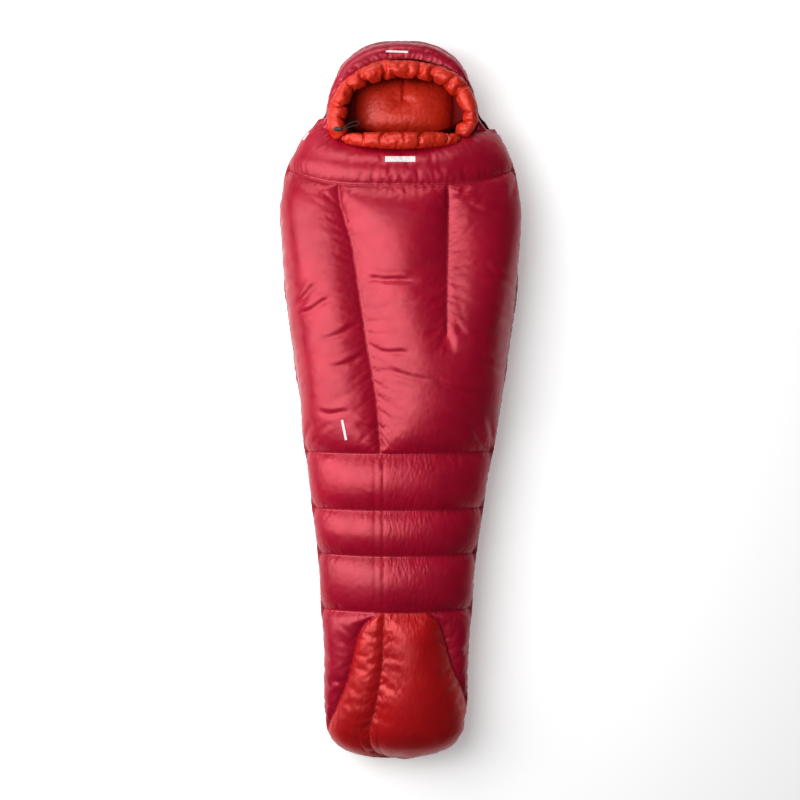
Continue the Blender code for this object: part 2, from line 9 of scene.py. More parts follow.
import bmesh
import bpy
import numpy as np
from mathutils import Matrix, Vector
from mathutils.bvhtree import BVHTree


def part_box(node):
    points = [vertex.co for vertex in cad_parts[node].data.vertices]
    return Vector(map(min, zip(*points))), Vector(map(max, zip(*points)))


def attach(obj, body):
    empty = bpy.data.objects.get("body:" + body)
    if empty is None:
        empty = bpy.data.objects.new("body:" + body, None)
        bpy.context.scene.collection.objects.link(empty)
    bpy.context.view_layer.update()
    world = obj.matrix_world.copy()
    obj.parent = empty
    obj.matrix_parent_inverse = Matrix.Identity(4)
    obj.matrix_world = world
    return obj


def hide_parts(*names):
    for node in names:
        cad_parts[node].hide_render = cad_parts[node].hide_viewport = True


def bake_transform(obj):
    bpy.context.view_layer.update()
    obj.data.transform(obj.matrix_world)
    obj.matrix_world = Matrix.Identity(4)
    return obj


# Shape of the bag in metres. y runs from the toe to the hood, x to the zip's side, z up.
# Tables that a curve goes through start each row with the station y.
SEAM_Z = 0.100
# Power of the section's curve: 1 is an ellipse, less is boxier.
ROUND_TOP = 0.87
ROUND_BOTTOM = 0.62
# Half width, highest point and sideways shift of the middle.
OUTLINE = [(1.075, 0.000), (1.074, 0.022), (1.065, 0.085), (1.040, 0.137), (1.000, 0.181),
           (0.930, 0.212), (0.860, 0.232), (0.823, 0.258), (0.787, 0.288), (0.750, 0.311),
           (0.700, 0.336), (0.640, 0.352), (0.550, 0.365), (0.430, 0.360), (0.320, 0.351),
           (0.210, 0.338), (0.100, 0.321), (0.000, 0.306), (-0.110, 0.289), (-0.190, 0.271),
           (-0.330, 0.252), (-0.470, 0.234), (-0.620, 0.224), (-0.760, 0.216), (-0.910, 0.212),
           (-0.980, 0.203), (-1.015, 0.189), (-1.050, 0.149), (-1.067, 0.090), (-1.074, 0.035),
           (-1.075, 0.000)]
CROWN = [(1.075, 0.115), (1.060, 0.140), (1.030, 0.163), (0.980, 0.180), (0.900, 0.190),
         (0.820, 0.205), (0.760, 0.225), (0.700, 0.244), (0.600, 0.258), (0.300, 0.260),
         (0.000, 0.256), (-0.200, 0.248), (-0.450, 0.236), (-0.650, 0.228), (-0.850, 0.222),
         (-0.980, 0.208), (-1.030, 0.185), (-1.060, 0.150), (-1.075, 0.118)]
DRIFT = [(0.000, 0.000), (-0.250, -0.010), (-0.700, -0.014), (-1.075, -0.018)]
TIP_Y = 1.0750
TOE_Y = -1.0750
NECK_Y = 0.741
# Yoke seam: its middle, and how far its ends rise towards the hood.
YOKE = (0.629, 0.056)
LEG_SEAMS = (-0.162, -0.330, -0.465, -0.631)
BACK_SEAMS = (0.805, 0.560, 0.320, 0.080, -0.162, -0.465, -0.631)
# Long seams and edges of the foot panel, in degrees round the section from the zip's side.
LEFT_SEAM = [(0.84, 121), (0.63, 119), (0.45, 111), (0.20, 106), (-0.162, 99), (-0.63, 97),
             (-0.76, 98), (-0.92, 104), (-0.98, 109), (-1.075, 112)]
RIGHT_SEAM = [(0.84, 70), (0.63, 70), (0.30, 71), (0.00, 70), (-1.075, 70)]
PANEL_LEFT = [(-0.631, 101), (-0.643, 106), (-0.667, 113.5), (-0.709, 120), (-0.808, 129),
              (-0.913, 146), (-0.958, 161), (-0.990, 180)]
PANEL_RIGHT = [(-0.631, 68), (-0.643, 63), (-0.664, 56), (-0.712, 49), (-0.808, 35.5),
               (-0.877, 17), (-0.922, 0)]
# Long folds: x and y of both ends, and depth.
CREASES = [(-0.115, 0.364, 0.040, 0.338, 0.0027), (-0.092, 0.151, 0.024, 0.126, 0.0030),
           (-0.048, 0.095, 0.100, 0.040, 0.0022), (0.098, 0.056, 0.233, 0.000, 0.0027),
           (-0.328, 0.274, -0.240, 0.336, 0.0043), (-0.312, 0.250, -0.198, 0.291, 0.0035),
           (-0.240, 0.174, -0.115, 0.218, 0.0025), (0.250, 0.392, 0.336, 0.325, 0.0030),
           (0.232, 0.134, 0.312, 0.066, 0.0030), (-0.246, -0.034, -0.148, -0.045, 0.0027),
           (-0.137, -0.067, -0.047, -0.095, 0.0025), (0.143, 0.615, 0.262, 0.580, 0.0022),
           (0.190, 0.585, 0.285, 0.530, 0.0022), (-0.215, 0.095, -0.110, 0.118, 0.0022)]
# Faint upright folds down the leg chambers.
LEG_FOLDS = (-0.076, -0.052)
# Zip line: its lower end, slope up to the bend, and the radius of the arc above it.
ZIP_END = (0.207, -0.465)
ZIP_SLOPE = 0.172
ZIP_BEND_Y = 0.160
ZIP_RADIUS = 1.500
ZIP_TOP_Y = 0.798
# How far the zip pushes cover and back apart, and the heights that each tape spans.
ZIP_LIFT = 0.0165
TAPE_UPPER = (0.1043, 0.1170)
TAPE_LOWER = (0.0830, 0.0957)
# Hood centre, and the roll round its opening.
HOOD_CENTRE = (0.010, 0.860)
MUFF_HALF = (0.195, 0.131)
MUFF_R = 0.025
CLOTH_FRAMES = 26
DICE = np.random.default_rng(11)

# Fabric colours, linear.
CRIMSON = (0.370, 0.0018, 0.0215)
# The shell crimson made about 8% darker: painted shade, used on the back, the hood's outside and
# the brim facing.
SHADED_CRIMSON = (0.340, 0.0020, 0.0200)
ORANGE = (0.460, 0.0045, 0.0070)
LINING = (0.580, 0.0210, 0.0065)


# ---- shapes

def smooth(rows):
    """Monotone cubic through (place, value) rows."""
    pts = sorted(rows)
    x = np.array([p[0] for p in pts])
    y = np.array([p[1] for p in pts])
    h = np.diff(x)
    d = np.diff(y) / h
    m = np.zeros(len(x))
    total = np.where(d[:-1] + d[1:] == 0, 1, d[:-1] + d[1:])
    m[1:-1] = np.where(d[:-1] * d[1:] > 0, 2 * d[:-1] * d[1:] / total, 0)
    m[0], m[-1] = d[0], d[-1]

    def value(q):
        q = np.clip(np.asarray(q, float), x[0], x[-1])
        k = np.clip(np.searchsorted(x, q) - 1, 0, len(h) - 1)
        t = (q - x[k]) / h[k]
        rise = (3 * t ** 2 - 2 * t ** 3) * y[k + 1] + (2 * t ** 3 - 3 * t ** 2 + 1) * y[k]
        bend = (t ** 3 - 2 * t ** 2 + t) * m[k] + (t ** 3 - t ** 2) * m[k + 1]
        return rise + bend * h[k]
    return value


WIDE = smooth(OUTLINE)
HIGH = smooth(CROWN)
MID = smooth(DRIFT)
LEFT_ANGLE = smooth(LEFT_SEAM)
RIGHT_ANGLE = smooth(RIGHT_SEAM)
PANEL_L = smooth(PANEL_LEFT)
PANEL_R = smooth(PANEL_RIGHT)


def arc_length(points):
    """Distance along a row of points."""
    return np.concatenate([[0], np.cumsum(np.linalg.norm(np.diff(points, axis=0), axis=1))])


def zip_x(y):
    """Zip line: straight below the bend, then an arc."""
    y = np.asarray(y, float)
    norm = math.hypot(1.0, ZIP_SLOPE)
    bend_x = ZIP_END[0] + ZIP_SLOPE * (ZIP_BEND_Y - ZIP_END[1])
    cx = bend_x - ZIP_RADIUS / norm
    cy = ZIP_BEND_Y + ZIP_RADIUS * ZIP_SLOPE / norm
    arc = cx + np.sqrt(np.maximum(ZIP_RADIUS ** 2 - (y - cy) ** 2, 0))
    return np.where(y <= ZIP_BEND_Y, ZIP_END[0] + ZIP_SLOPE * (y - ZIP_END[1]), arc)


def zip_share(y, right):
    """1 beside the zip, 0 where the side is only a seam."""
    return np.where(right, np.clip((y - ZIP_END[1]) / 0.03 + 1, 0, 1), 0.0)


def side_in(y, right):
    """How far the side seam lies inside the outline."""
    plain = 0.016
    zip_in = np.clip(MID(y) + WIDE(y) - zip_x(y), 0.008, 0.06)
    share = zip_share(y, right)
    return plain * (1 - share) + zip_in * share


def section(y, angle, inset_w, inset_h, lower=False):
    """Points of the tube's section. The lower half is pressed flat on the ground."""
    c = np.cos(angle)
    s = np.abs(np.sin(angle))
    wide = np.maximum(WIDE(y) - inset_w, 0.0008)
    power = ROUND_BOTTOM if lower else ROUND_TOP
    x = MID(y) + wide * np.sign(c) * np.abs(c) ** power
    if lower:
        z = np.maximum(SEAM_Z - (SEAM_Z + 0.006 - inset_h) * s ** power, 0.0006)
    else:
        z = SEAM_Z + np.maximum(HIGH(y) - inset_h - SEAM_Z, 0.003) * s ** power
    return np.stack([x, y, z], -1)


def even_angles(y, knots, counts, lower=False):
    """Angles across one row, in equal steps of arc between the knots."""
    fine = np.linspace(0, math.pi, 721)
    p = section(np.full_like(fine, y), fine, 0.0, 0.0, lower)
    arc = arc_length(p)
    at = np.interp(knots, fine, arc)
    parts = [np.linspace(at[k], at[k + 1], n + 1)[:-1] for k, n in enumerate(counts)]
    return np.interp(np.concatenate([*parts, [at[-1]]]), arc, fine)


def even_profile(y0, y1, count):
    """Stations from y0 to y1 that are even along the surface, over the toe too."""
    y = np.linspace(y0, y1, 500)
    step = np.sqrt(np.diff(y) ** 2 + np.diff(HIGH(y)) ** 2 + 0.3 * np.diff(WIDE(y)) ** 2)
    arc = np.concatenate([[0], np.cumsum(step)])
    return np.interp(np.linspace(0, arc[-1], count + 1), arc, y)


def arc_from(grid, axis):
    """Distance along rows or columns of a grid."""
    steps = np.linalg.norm(np.diff(grid, axis=axis), axis=2)
    return np.insert(np.cumsum(steps, axis=axis), 0, 0.0, axis=axis)


def spline(knots, count):
    """Even points on a smooth curve through the knots."""
    p = np.array(knots)
    p = np.vstack([2 * p[0] - p[1], p, 2 * p[-1] - p[-2]])
    fine = []
    for k in range(1, len(p) - 2):
        t = np.linspace(0, 1, 24, endpoint=False)[:, None]
        a, b, c, d = p[k - 1:k + 3]
        fine.append(0.5 * (2 * b + (c - a) * t + (2 * a - 5 * b + 4 * c - d) * t ** 2
                           + (3 * b - 3 * c + d - a) * t ** 3))
    fine = np.vstack([*fine, p[-2:-1]])
    arc = arc_length(fine)
    even = np.linspace(0, arc[-1], count)
    return np.stack([np.interp(even, arc, fine[:, k]) for k in range(3)], -1)


def calm(quilt, rounds, reach=0.070):
    """Take out the finest ripples away from the seams, fully so beyond the reach."""
    share = 0.5 * np.clip((quilt.near - 0.012) / reach, 0, 1)[..., None] * ~quilt.held[..., None]
    share[0] = share[-1] = 0
    share[:, 0] = share[:, -1] = 0
    for _ in range(rounds):
        g = quilt.grid
        mean = g.copy()
        mean[1:-1, 1:-1] = (g[:-2, 1:-1] + g[2:, 1:-1] + g[1:-1, :-2] + g[1:-1, 2:]) / 4
        quilt.grid = g + (mean - g) * share


def press_crease(quilt, x0, y0, x1, y1, depth):
    """Long fold in the fabric: a groove with a ridge along its upper side."""
    run = np.array([x1 - x0, y1 - y0])
    length = np.linalg.norm(run)
    run = run / length
    flat = quilt.grid[..., :2] - (x0, y0)
    along = (flat @ run) / length
    off = flat @ np.array([-run[1], run[0]]) + 0.006 * np.sin(along * 5)
    ends = np.exp(-np.clip(np.abs(along - 0.5) - 0.22, 0, None) ** 2 / 0.045)
    free = np.clip(quilt.near / 0.012, 0, 1) * ~quilt.held
    groove = np.exp(-(off / 0.0090) ** 2) - 0.65 * np.exp(-((off - 0.0165) / 0.0105) ** 2)
    quilt.grid[..., 2] -= depth * groove * ends * free


class Quilt:
    """A grid of points with held seam rows and columns.

    near is each point's distance to the closest seam, lines lists the seams for the stitches.
    """

    def __init__(self, grid):
        self.grid = grid
        self.held = np.zeros(grid.shape[:2], bool)
        self.near = np.full(grid.shape[:2], 1.0)
        self.along = arc_from(grid, 0)
        self.across = arc_from(grid, 1)
        self.lines = []

    def row(self, r):
        self.held[r] = True
        self.near = np.minimum(self.near, np.abs(self.along - self.along[r:r + 1]))
        self.lines.append(("row", r, 0, self.grid.shape[1]))

    def column(self, c, r0=0, r1=None):
        r1 = self.grid.shape[0] if r1 is None else r1
        part = slice(r0, r1)
        self.held[part, c] = True
        gap = np.abs(self.across - self.across[:, c:c + 1])
        self.near[part] = np.minimum(self.near[part], gap[part])
        self.lines.append(("column", c, r0, r1))


# ---- cloth

JOBS = []


def faces_of(rows, cols, wrap=False, flip=False):
    """Quads of a grid, which wrap joins round along its rows."""
    last = cols if wrap else cols - 1
    faces = [(i * cols + j, i * cols + (j + 1) % cols, (i + 1) * cols + (j + 1) % cols,
              (i + 1) * cols + j) for i in range(rows - 1) for j in range(last)]
    return [f[::-1] for f in faces] if flip else faces


def new_object(name, verts, faces, material=None):
    """Mesh object in the scene."""
    mesh = bpy.data.meshes.new(name)
    mesh.from_pydata(verts, [], faces)
    if material:
        mesh.materials.append(material)
    ob = bpy.data.objects.new(name, mesh)
    bpy.context.scene.collection.objects.link(ob)
    return ob


def cloth(grid, part, held, near, press, grow, stiff=0.4, wrap=False, flip=False):
    """Queue one block of a grid for the simulation.

    grow is the fabric's slack, away from the seams and on them.
    """
    rows, cols = part
    block = grid[rows, cols]
    r, c = block.shape[:2]
    jitter = DICE.normal(0, 0.0005, (r, c, 3)) * ~held[rows, cols][..., None]
    ob = new_object("job", (block + jitter).reshape(-1, 3).tolist(), faces_of(r, c, wrap, flip))
    pin = ob.vertex_groups.new(name="pin")
    pin.add(np.nonzero(held[rows, cols].ravel())[0].tolist(), 1.0, "REPLACE")
    slack = ob.vertex_groups.new(name="slack")
    levels = 10
    weight = np.round(levels * np.exp(-(near[rows, cols].ravel() / 0.045) ** 2))
    for q in range(1, levels + 1):
        slack.add(np.nonzero(weight == q)[0].tolist(), q / levels, "REPLACE")
    mod = ob.modifiers.new("cloth", "CLOTH")
    s = mod.settings
    s.quality = 4
    s.mass = 0.08
    s.tension_stiffness = s.compression_stiffness = 25
    s.shear_stiffness = 8
    s.bending_stiffness = stiff
    s.tension_damping = s.compression_damping = s.shear_damping = 5
    s.bending_damping = 0.5
    s.air_damping = 2
    s.vertex_group_mass = "pin"
    s.vertex_group_shrink = "slack"
    s.shrink_min, s.shrink_max = -grow[0], -grow[1]
    s.use_pressure = True
    s.uniform_pressure_force = press
    s.effector_weights.gravity = 0.0
    mod.collision_settings.use_collision = False
    mod.point_cache.frame_end = 2 * CLOTH_FRAMES
    JOBS.append((ob, grid, rows, cols))


def run_cloth():
    """Step every queued block together, then write the shapes back into their grids."""
    scene = bpy.context.scene
    for f in range(1, CLOTH_FRAMES + 1):
        scene.frame_set(f)
    dg = bpy.context.evaluated_depsgraph_get()
    for ob, grid, rows, cols in JOBS:
        mesh = bpy.data.meshes.new_from_object(ob.evaluated_get(dg))
        co = np.empty(len(mesh.vertices) * 3)
        mesh.vertices.foreach_get("co", co)
        grid[rows, cols] = co.reshape(grid[rows, cols].shape)
        bpy.data.meshes.remove(mesh)
        bpy.data.objects.remove(ob)
    JOBS.clear()
    scene.frame_set(1)


# ---- skins

# Columns of the cover between its long seams, and rows between its cross seams.
COLS = (50, 60, 58)
ROWS = (22, 162, 34, 27, 33, 92)
EDGE_L = COLS[0] + COLS[1]
HOOD_SEAM = 8


def row_curve(k, angle):
    """Station of the cover's k-th cross seam at an angle: neck, yoke, legs, toe."""
    c2 = np.cos(angle) ** 2
    if k == 0:
        right = 0.0657 * (1 - np.exp(-c2 / 0.35))
        return NECK_Y + np.where(angle > math.pi / 2, 0.098 * c2, right)
    if k == 1:
        return YOKE[0] + YOKE[1] * np.abs(np.cos(angle)) ** 3
    if k <= 5:
        return LEG_SEAMS[k - 2] + 0.006 * c2
    return np.full_like(angle, TOE_Y)


def cover_angles():
    """Station and angle of every point of the cover, and the rows that are seams."""
    mids = [NECK_Y, YOKE[0], *LEG_SEAMS, TOE_Y]
    ys, angles, seams = [], [], [0]
    for k, count in enumerate(ROWS):
        if k == 5:
            steps = (even_profile(mids[5], mids[6], count) - mids[5]) / (mids[6] - mids[5])
        else:
            steps = np.arange(count) / count
        for t in steps:
            y0 = mids[k] + (mids[k + 1] - mids[k]) * t
            knots = [0, math.radians(RIGHT_ANGLE(y0)), math.radians(LEFT_ANGLE(y0)), math.pi]
            a = even_angles(y0, knots, COLS)
            ys.append(row_curve(k, a) * (1 - t) + row_curve(k + 1, a) * t)
            angles.append(a)
        seams.append(len(ys) if k < 5 else len(ys) - 1)
    return np.array(ys), np.array(angles), seams


def panel_edges(y):
    """Angles of the foot panel's two edges at a station, in radians."""
    return np.radians(PANEL_R(y)), np.radians(PANEL_L(y))


def cover_quilt():
    """Upper skin, with the points that belong to the foot panel, its seam rows and panel edge."""
    y, a, seams = cover_angles()
    last = y.shape[1] - 1
    rank = np.arange(y.shape[0])[:, None]
    panel = np.zeros(y.shape, bool)
    edge = []
    for i in range(seams[5], y.shape[0]):
        right, left = panel_edges(y[i].mean())
        panel[i] = (a[i] >= right - 1e-6) & (a[i] <= left + 1e-6)
        for at in (right, left):
            if 0.02 < at < math.pi - 0.02:
                j = int(np.argmin(np.abs(a[i] - at)))
                a[i, j] = at
                panel[i, j] = True
                edge.append((i, j))
    quilt = Quilt(section(y, a, 0.0, 0.0))
    for r in seams:
        quilt.row(r)
    quilt.column(EDGE_L, seams[1], seams[2] + 1)
    # The right chest seam ends at this row, and grows shallower from 20 rows below the yoke on.
    fade = seams[1] + round(ROWS[1] * 0.56)
    quilt.column(COLS[0], seams[1], fade)
    quilt.column(EDGE_L, seams[5], seams[6] - 3)
    for c in (0, last):
        quilt.column(c)
    for i, j in edge:
        quilt.held[i, j] = True
        gap = np.linalg.norm(quilt.grid[i:i + 1] - quilt.grid[i, j], axis=2)[0]
        quilt.near[i] = np.minimum(quilt.near[i], gap)
    side = np.minimum(quilt.across, quilt.across[:, -1:] - quilt.across)
    sink = 0.020 * np.exp(-quilt.near / 0.026)
    sink *= 0.35 + 0.65 * np.clip(side / 0.11, 0, 1)
    gap = np.abs(quilt.across - quilt.across[:, COLS[0]:COLS[0] + 1])
    rise = np.clip((rank - seams[1] - 20) / (fade - seams[1] - 20), 0, 1)
    below = np.clip((rank - fade) / 14, 0, 1)
    sink -= 0.026 * rise ** 1.3 * (1 - below) * np.exp(-(gap / 0.03) ** 2) * (y < YOKE[0])
    sink = np.maximum(sink, -0.008)
    ramp = np.clip((rank - seams[5]) / 8, 0, 1)
    sink[:, EDGE_L - 9:EDGE_L + 10] *= 1 - 0.5 * ramp
    end = np.clip((y - TOE_Y) / 0.03, 0, 1)
    right = a < math.pi / 2
    pull = side_in(y, right) * np.exp(-side / 0.022) * end
    neck = 0.014 * np.exp(-quilt.along / 0.02)
    quilt.grid = section(y, a, sink * (side > 0.03) - 0.010 * end, sink + 0.012 + neck)
    quilt.grid[..., 0] -= np.where(right, pull, -pull)
    quilt.grid[..., 2] += ZIP_LIFT * zip_share(y, right) * np.exp(-side / 0.02)
    halves = [0, EDGE_L, last]
    leg = ([0, last], 14, (0.008, 0.075), 1.2)
    # Columns a band of rows is cut at, its pressure, slack and bending stiffness.
    bands = [([0, last], 14, (0.015, 0.12), 0.5), (halves, 10, (0.010, 0.165), 0.35), leg, leg, leg,
             (halves, 10, (0.020, 0.16), 0.10)]
    for k, (cuts, press, grow, stiff) in enumerate(bands):
        for c0, c1 in zip(cuts, cuts[1:]):
            part = (slice(seams[k], seams[k + 1] + 1), slice(c0, c1 + 1))
            cloth(quilt.grid, part, quilt.held, quilt.near, press, grow, stiff)
    return quilt, panel, seams, edge


def back_quilt():
    """Underside and lower sides, from the hood's tip to the toe."""
    cuts = [TIP_Y, *BACK_SEAMS, TOE_Y]
    ys, rows = [], [0]
    for k in range(len(cuts) - 1):
        count = max(8, round(abs(cuts[k] - cuts[k + 1]) / 0.0068))
        if k in (0, len(cuts) - 2):
            part = even_profile(cuts[k], cuts[k + 1], count + 6)
        else:
            part = np.linspace(cuts[k], cuts[k + 1], count + 1)
        ys.extend(part[:-1])
        rows.append(len(ys))
    ys.append(cuts[-1])
    lay = []
    for v in ys:
        knots = [0, math.radians(52), math.radians(128), math.pi]
        lay.append(even_angles(v, knots, (26, 4, 26), True))
    a = np.array(lay)
    y = np.repeat(np.array(ys)[:, None], a.shape[1], axis=1)
    quilt = Quilt(section(y, a, 0.0, 0.0, True))
    for r in rows:
        quilt.row(r)
    for c in (0, y.shape[1] - 1):
        quilt.column(c)
    side = np.minimum(quilt.across, quilt.across[:, -1:] - quilt.across)
    sink = 0.016 * np.exp(-quilt.near / 0.024)
    end = np.clip((TIP_Y - np.abs(y)) / 0.03, 0, 1)
    right = a < math.pi / 2
    pull = side_in(y, right) * np.exp(-side / 0.022) * end
    quilt.grid = section(y, a, sink * (side > 0.03) - 0.006 * end, 0.0, True)
    quilt.grid[..., 0] -= np.where(right, pull, -pull)
    lower = ZIP_LIFT * zip_share(y, right) * np.clip((0.83 - y) / 0.03, 0, 1)
    quilt.grid[..., 2] -= lower * np.exp(-side / 0.02)
    quilt.held |= quilt.grid[..., 2] < 0.004
    for r0, r1 in zip(rows, rows[1:]):
        part = (slice(r0, r1 + 1), slice(0, y.shape[1]))
        cloth(quilt.grid, part, quilt.held, quilt.near, 12, (0.03, 0.12), 0.35, flip=True)
    return quilt


def outline_reach(turn):
    """Distance from the hood's centre to the outline along each heading."""
    lo = np.zeros_like(turn)
    hi = np.full_like(turn, 0.4)
    for _ in range(30):
        mid = (lo + hi) / 2
        x = HOOD_CENTRE[0] + mid * np.cos(turn)
        y = HOOD_CENTRE[1] + mid * np.sin(turn)
        inside = (y < TIP_Y) & (np.abs(x - MID(y)) < WIDE(y))
        lo = np.where(inside, mid, lo)
        hi = np.where(inside, hi, mid)
    return lo


def muff_reach(turn, grow):
    """Distance from the hood's centre to the opening, made wider by grow."""
    c = np.cos(turn) / (MUFF_HALF[0] + grow)
    s = np.maximum(np.sin(turn), 0.0) / (MUFF_HALF[1] + grow)
    return 1.0 / np.hypot(c, s)


def hood_quilt():
    """Outside of the hood, from the face roll out to the ground seam."""
    turn = np.radians(np.linspace(-15.5, 195.5, 150))[:, None]
    s = np.linspace(0, 1, 24)[None, :] * math.pi / 2
    ro = outline_reach(turn)
    ri = muff_reach(turn, MUFF_R * 0.75)
    ri = np.minimum(ri, ro - 0.006)

    def shape(side_inset, top_inset):
        r = ri + (ro - side_inset - ri) * np.cos(s) ** ROUND_TOP
        z = SEAM_Z + (0.182 - top_inset - SEAM_Z) * np.sin(s) ** ROUND_TOP
        x = HOOD_CENTRE[0] + r * np.cos(turn)
        return np.stack([x, HOOD_CENTRE[1] + r * np.sin(turn), z + 0 * r], -1)

    quilt = Quilt(shape(0.0, 0.0))
    for r in (0, quilt.grid.shape[0] - 1):
        quilt.row(r)
    for c in (0, HOOD_SEAM, quilt.grid.shape[1] - 1):
        quilt.column(c)
    # Both ends go down under the yoke.
    tuck = np.clip((np.abs(turn - math.pi / 2) - math.radians(86)) / math.radians(9), 0, 1)
    tuck = tuck ** 2 * (3 - 2 * tuck)
    sink = 0.010 * np.exp(-quilt.near / 0.014)
    side = np.exp(-quilt.across / 0.018) * 0.012
    quilt.grid = shape(sink * 0.4 + side + 0.012 * tuck, sink + 0.006 + 0.030 * tuck)
    cloth(quilt.grid, (slice(None), slice(None)), quilt.held, quilt.near, 14, (0.02, 0.10), 0.4,
          flip=True)
    return quilt


def hood_pillow():
    """Stuffed inside of the hood that the head lies on."""
    wide, high = 75, 47
    u = np.linspace(-1, 1, wide)[None, :]
    v = np.linspace(-1, 1, high)[:, None]
    x = 0.008 + 0.150 * u * np.sqrt(1 - 0.16 * v ** 2) + 0 * v
    y = 0.872 + 0.098 * v * np.sqrt(1 - 0.35 * u ** 2) + 0 * u
    dome = (1 - np.abs(u) ** 3.2) * (1 - np.abs(v) ** 3.2)
    z = 0.054 + 0.052 * np.maximum(dome, 0) ** 0.6
    quilt = Quilt(np.stack([x, y, z], -1))
    for r in (0, high - 1):
        quilt.row(r)
    for c in (0, wide - 1):
        quilt.column(c)
    middle, start = wide // 2, 29
    quilt.column(middle, start, high - 1)
    quilt.grid[start:high - 1, middle - 1:middle + 2, 2] -= 0.007
    cloth(quilt.grid, (slice(None), slice(None)), quilt.held, quilt.near, 4, (0.045, 0.20), 0.12)
    return quilt


def hood_bowl():
    """Wall of the hood's inside, from under the face roll down to the pillow."""
    turn = np.linspace(0, 2 * math.pi, 145)[:-1][None, :]
    steps = np.linspace(0, 1.5, 33)[:, None]
    t = np.minimum(steps, 1.0)
    floor = np.maximum(steps - 1.0, 0.0) * 2
    up = np.sin(turn) > 0
    rx = 0.194 - 0.012 * t + 0.010 * np.sin(t * math.pi)
    ry = np.where(up, 0.114, 0.080) + 0.012 * np.sin(t * math.pi) - 0.006 * t
    wave = 1 + 0.018 * np.sin(turn * 21 + 2 * np.sin(turn * 5)) * np.sin(t * math.pi)
    keep = 1 - 0.97 * floor
    x = HOOD_CENTRE[0] + rx * wave * keep * np.cos(turn)
    y = 0.868 + ry * wave * keep * np.sin(turn)
    low = np.clip(-np.sin(turn), 0, 1)
    top = 0.168 - 0.035 * low
    z = top + (0.052 - top) * t ** 0.85
    return np.stack([x, y, z], -1)


def roll(path, radius, around, open_side, pinches, press, grow, squash=1.0):
    """Gathered tube along a path, sewn down on the side away from open_side.

    Each pinch is (share of the path, depth, slant), deepest on the open side.
    """
    path = np.array(path)
    along = np.gradient(path, axis=0)
    along /= np.linalg.norm(along, axis=1)[:, None]
    side = np.cross(along, [0, 0, 1.0])
    side /= np.linalg.norm(side, axis=1)[:, None]
    up = np.cross(side, along)
    turn = np.linspace(0, 2 * math.pi, around + 1)[:-1]
    share = np.linspace(0, 1, len(path))
    size = (np.broadcast_to(radius, len(path))[:, None] + 0 * turn[None, :]).copy()
    for at, depth, slant in pinches:
        place = share[:, None] - at - slant * np.sin(turn)[None, :]
        facing = 0.5 + 0.5 * np.cos(turn - open_side)[None, :]
        size *= 1 - depth * facing ** 0.7 * np.exp(-(place / 0.011) ** 2)
    size *= (np.clip(np.minimum(share, 1 - share) / 0.03, 0.3, 1) ** 0.5)[:, None]
    grid = (path[:, None] + side[:, None] * (size * np.cos(turn))[..., None]
            + up[:, None] * (size * np.sin(turn) * squash)[..., None])
    quilt = Quilt(grid)
    k = round((open_side / (2 * math.pi) + 0.5) * around) % around
    quilt.held[:, k] = True
    quilt.held[0] = quilt.held[-1] = True
    far = np.abs((np.arange(around) - k + around / 2) % around - around / 2)
    quilt.near = (far * 2 * math.pi * np.mean(radius) / around)[None, :] + 0 * quilt.near
    for at, depth, _ in pinches:
        if depth > 0.4:
            quilt.held[int(round(at * (len(path) - 1)))] |= far > around * 0.36
    cloth(quilt.grid, (slice(None), slice(None)), quilt.held, quilt.near, press, grow, 0.25,
          wrap=True, flip=True)
    return quilt


# ---- meshes

def grid_mesh(name, grid, material, wrap=False, flip=False, keep=None):
    """Smooth mesh of a grid, or of those of its faces that keep picks."""
    rows, cols = grid.shape[:2]
    faces = faces_of(rows, cols, wrap, flip)
    if keep is not None:
        faces = [f for f in faces if keep(f, cols)]
    used = sorted({v for f in faces for v in f})
    index = {v: k for k, v in enumerate(used)}
    flat = grid.reshape(-1, 3)
    ob = new_object(name, flat[used].tolist(), [[index[v] for v in f] for f in faces], material)
    ob.data.polygons.foreach_set("use_smooth", [True] * len(ob.data.polygons))
    return ob


def bar_faces(base, rings):
    """Faces of a closed bar whose rings have four corners each."""
    last = base + 4 * (rings - 1)
    sides = [(k + j, k + (j + 1) % 4, k + 4 + (j + 1) % 4, k + 4 + j)
             for k in range(base, last, 4) for j in range(4)]
    return [*sides, (base + 3, base + 2, base + 1, base), (last, last + 1, last + 2, last + 3)]


def with_fold(ob):
    """Bake the piece's transform into its mesh."""
    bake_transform(ob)


def with_hood(ob):
    """Bake the piece's transform into its mesh."""
    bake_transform(ob)


# ---- materials

def node(tree, kind, **values):
    """New node with some of its properties set."""
    n = tree.nodes.new(kind)
    for key, value in values.items():
        setattr(n, key, value)
    return n


def put(n, **values):
    """Set a node's inputs, named with _ for each space."""
    for key, value in values.items():
        n.inputs[key.replace("_", " ")].default_value = value
    return n


def texture(tree, place, kind, **values):
    """Texture node on the piece's own coordinates."""
    n = put(node(tree, kind), **values)
    tree.links.new(place.outputs["Object"], n.inputs["Vector"])
    return n


def new_material(name):
    """Material with its node tree and its main shader."""
    mat = bpy.data.materials.new(name)
    mat.use_nodes = True
    return mat, mat.node_tree, mat.node_tree.nodes["Principled BSDF"]


def ramp_colour(tree, source, low, high, bounds=(0.0, 1.0)):
    """Colour that a texture moves between two others."""
    ramp = node(tree, "ShaderNodeValToRGB")
    for element, at, colour in zip(ramp.color_ramp.elements, bounds, (low, high)):
        element.position = at
        element.color = (*colour, 1)
    tree.links.new(source.outputs["Fac"], ramp.inputs["Fac"])
    return ramp.outputs["Color"]


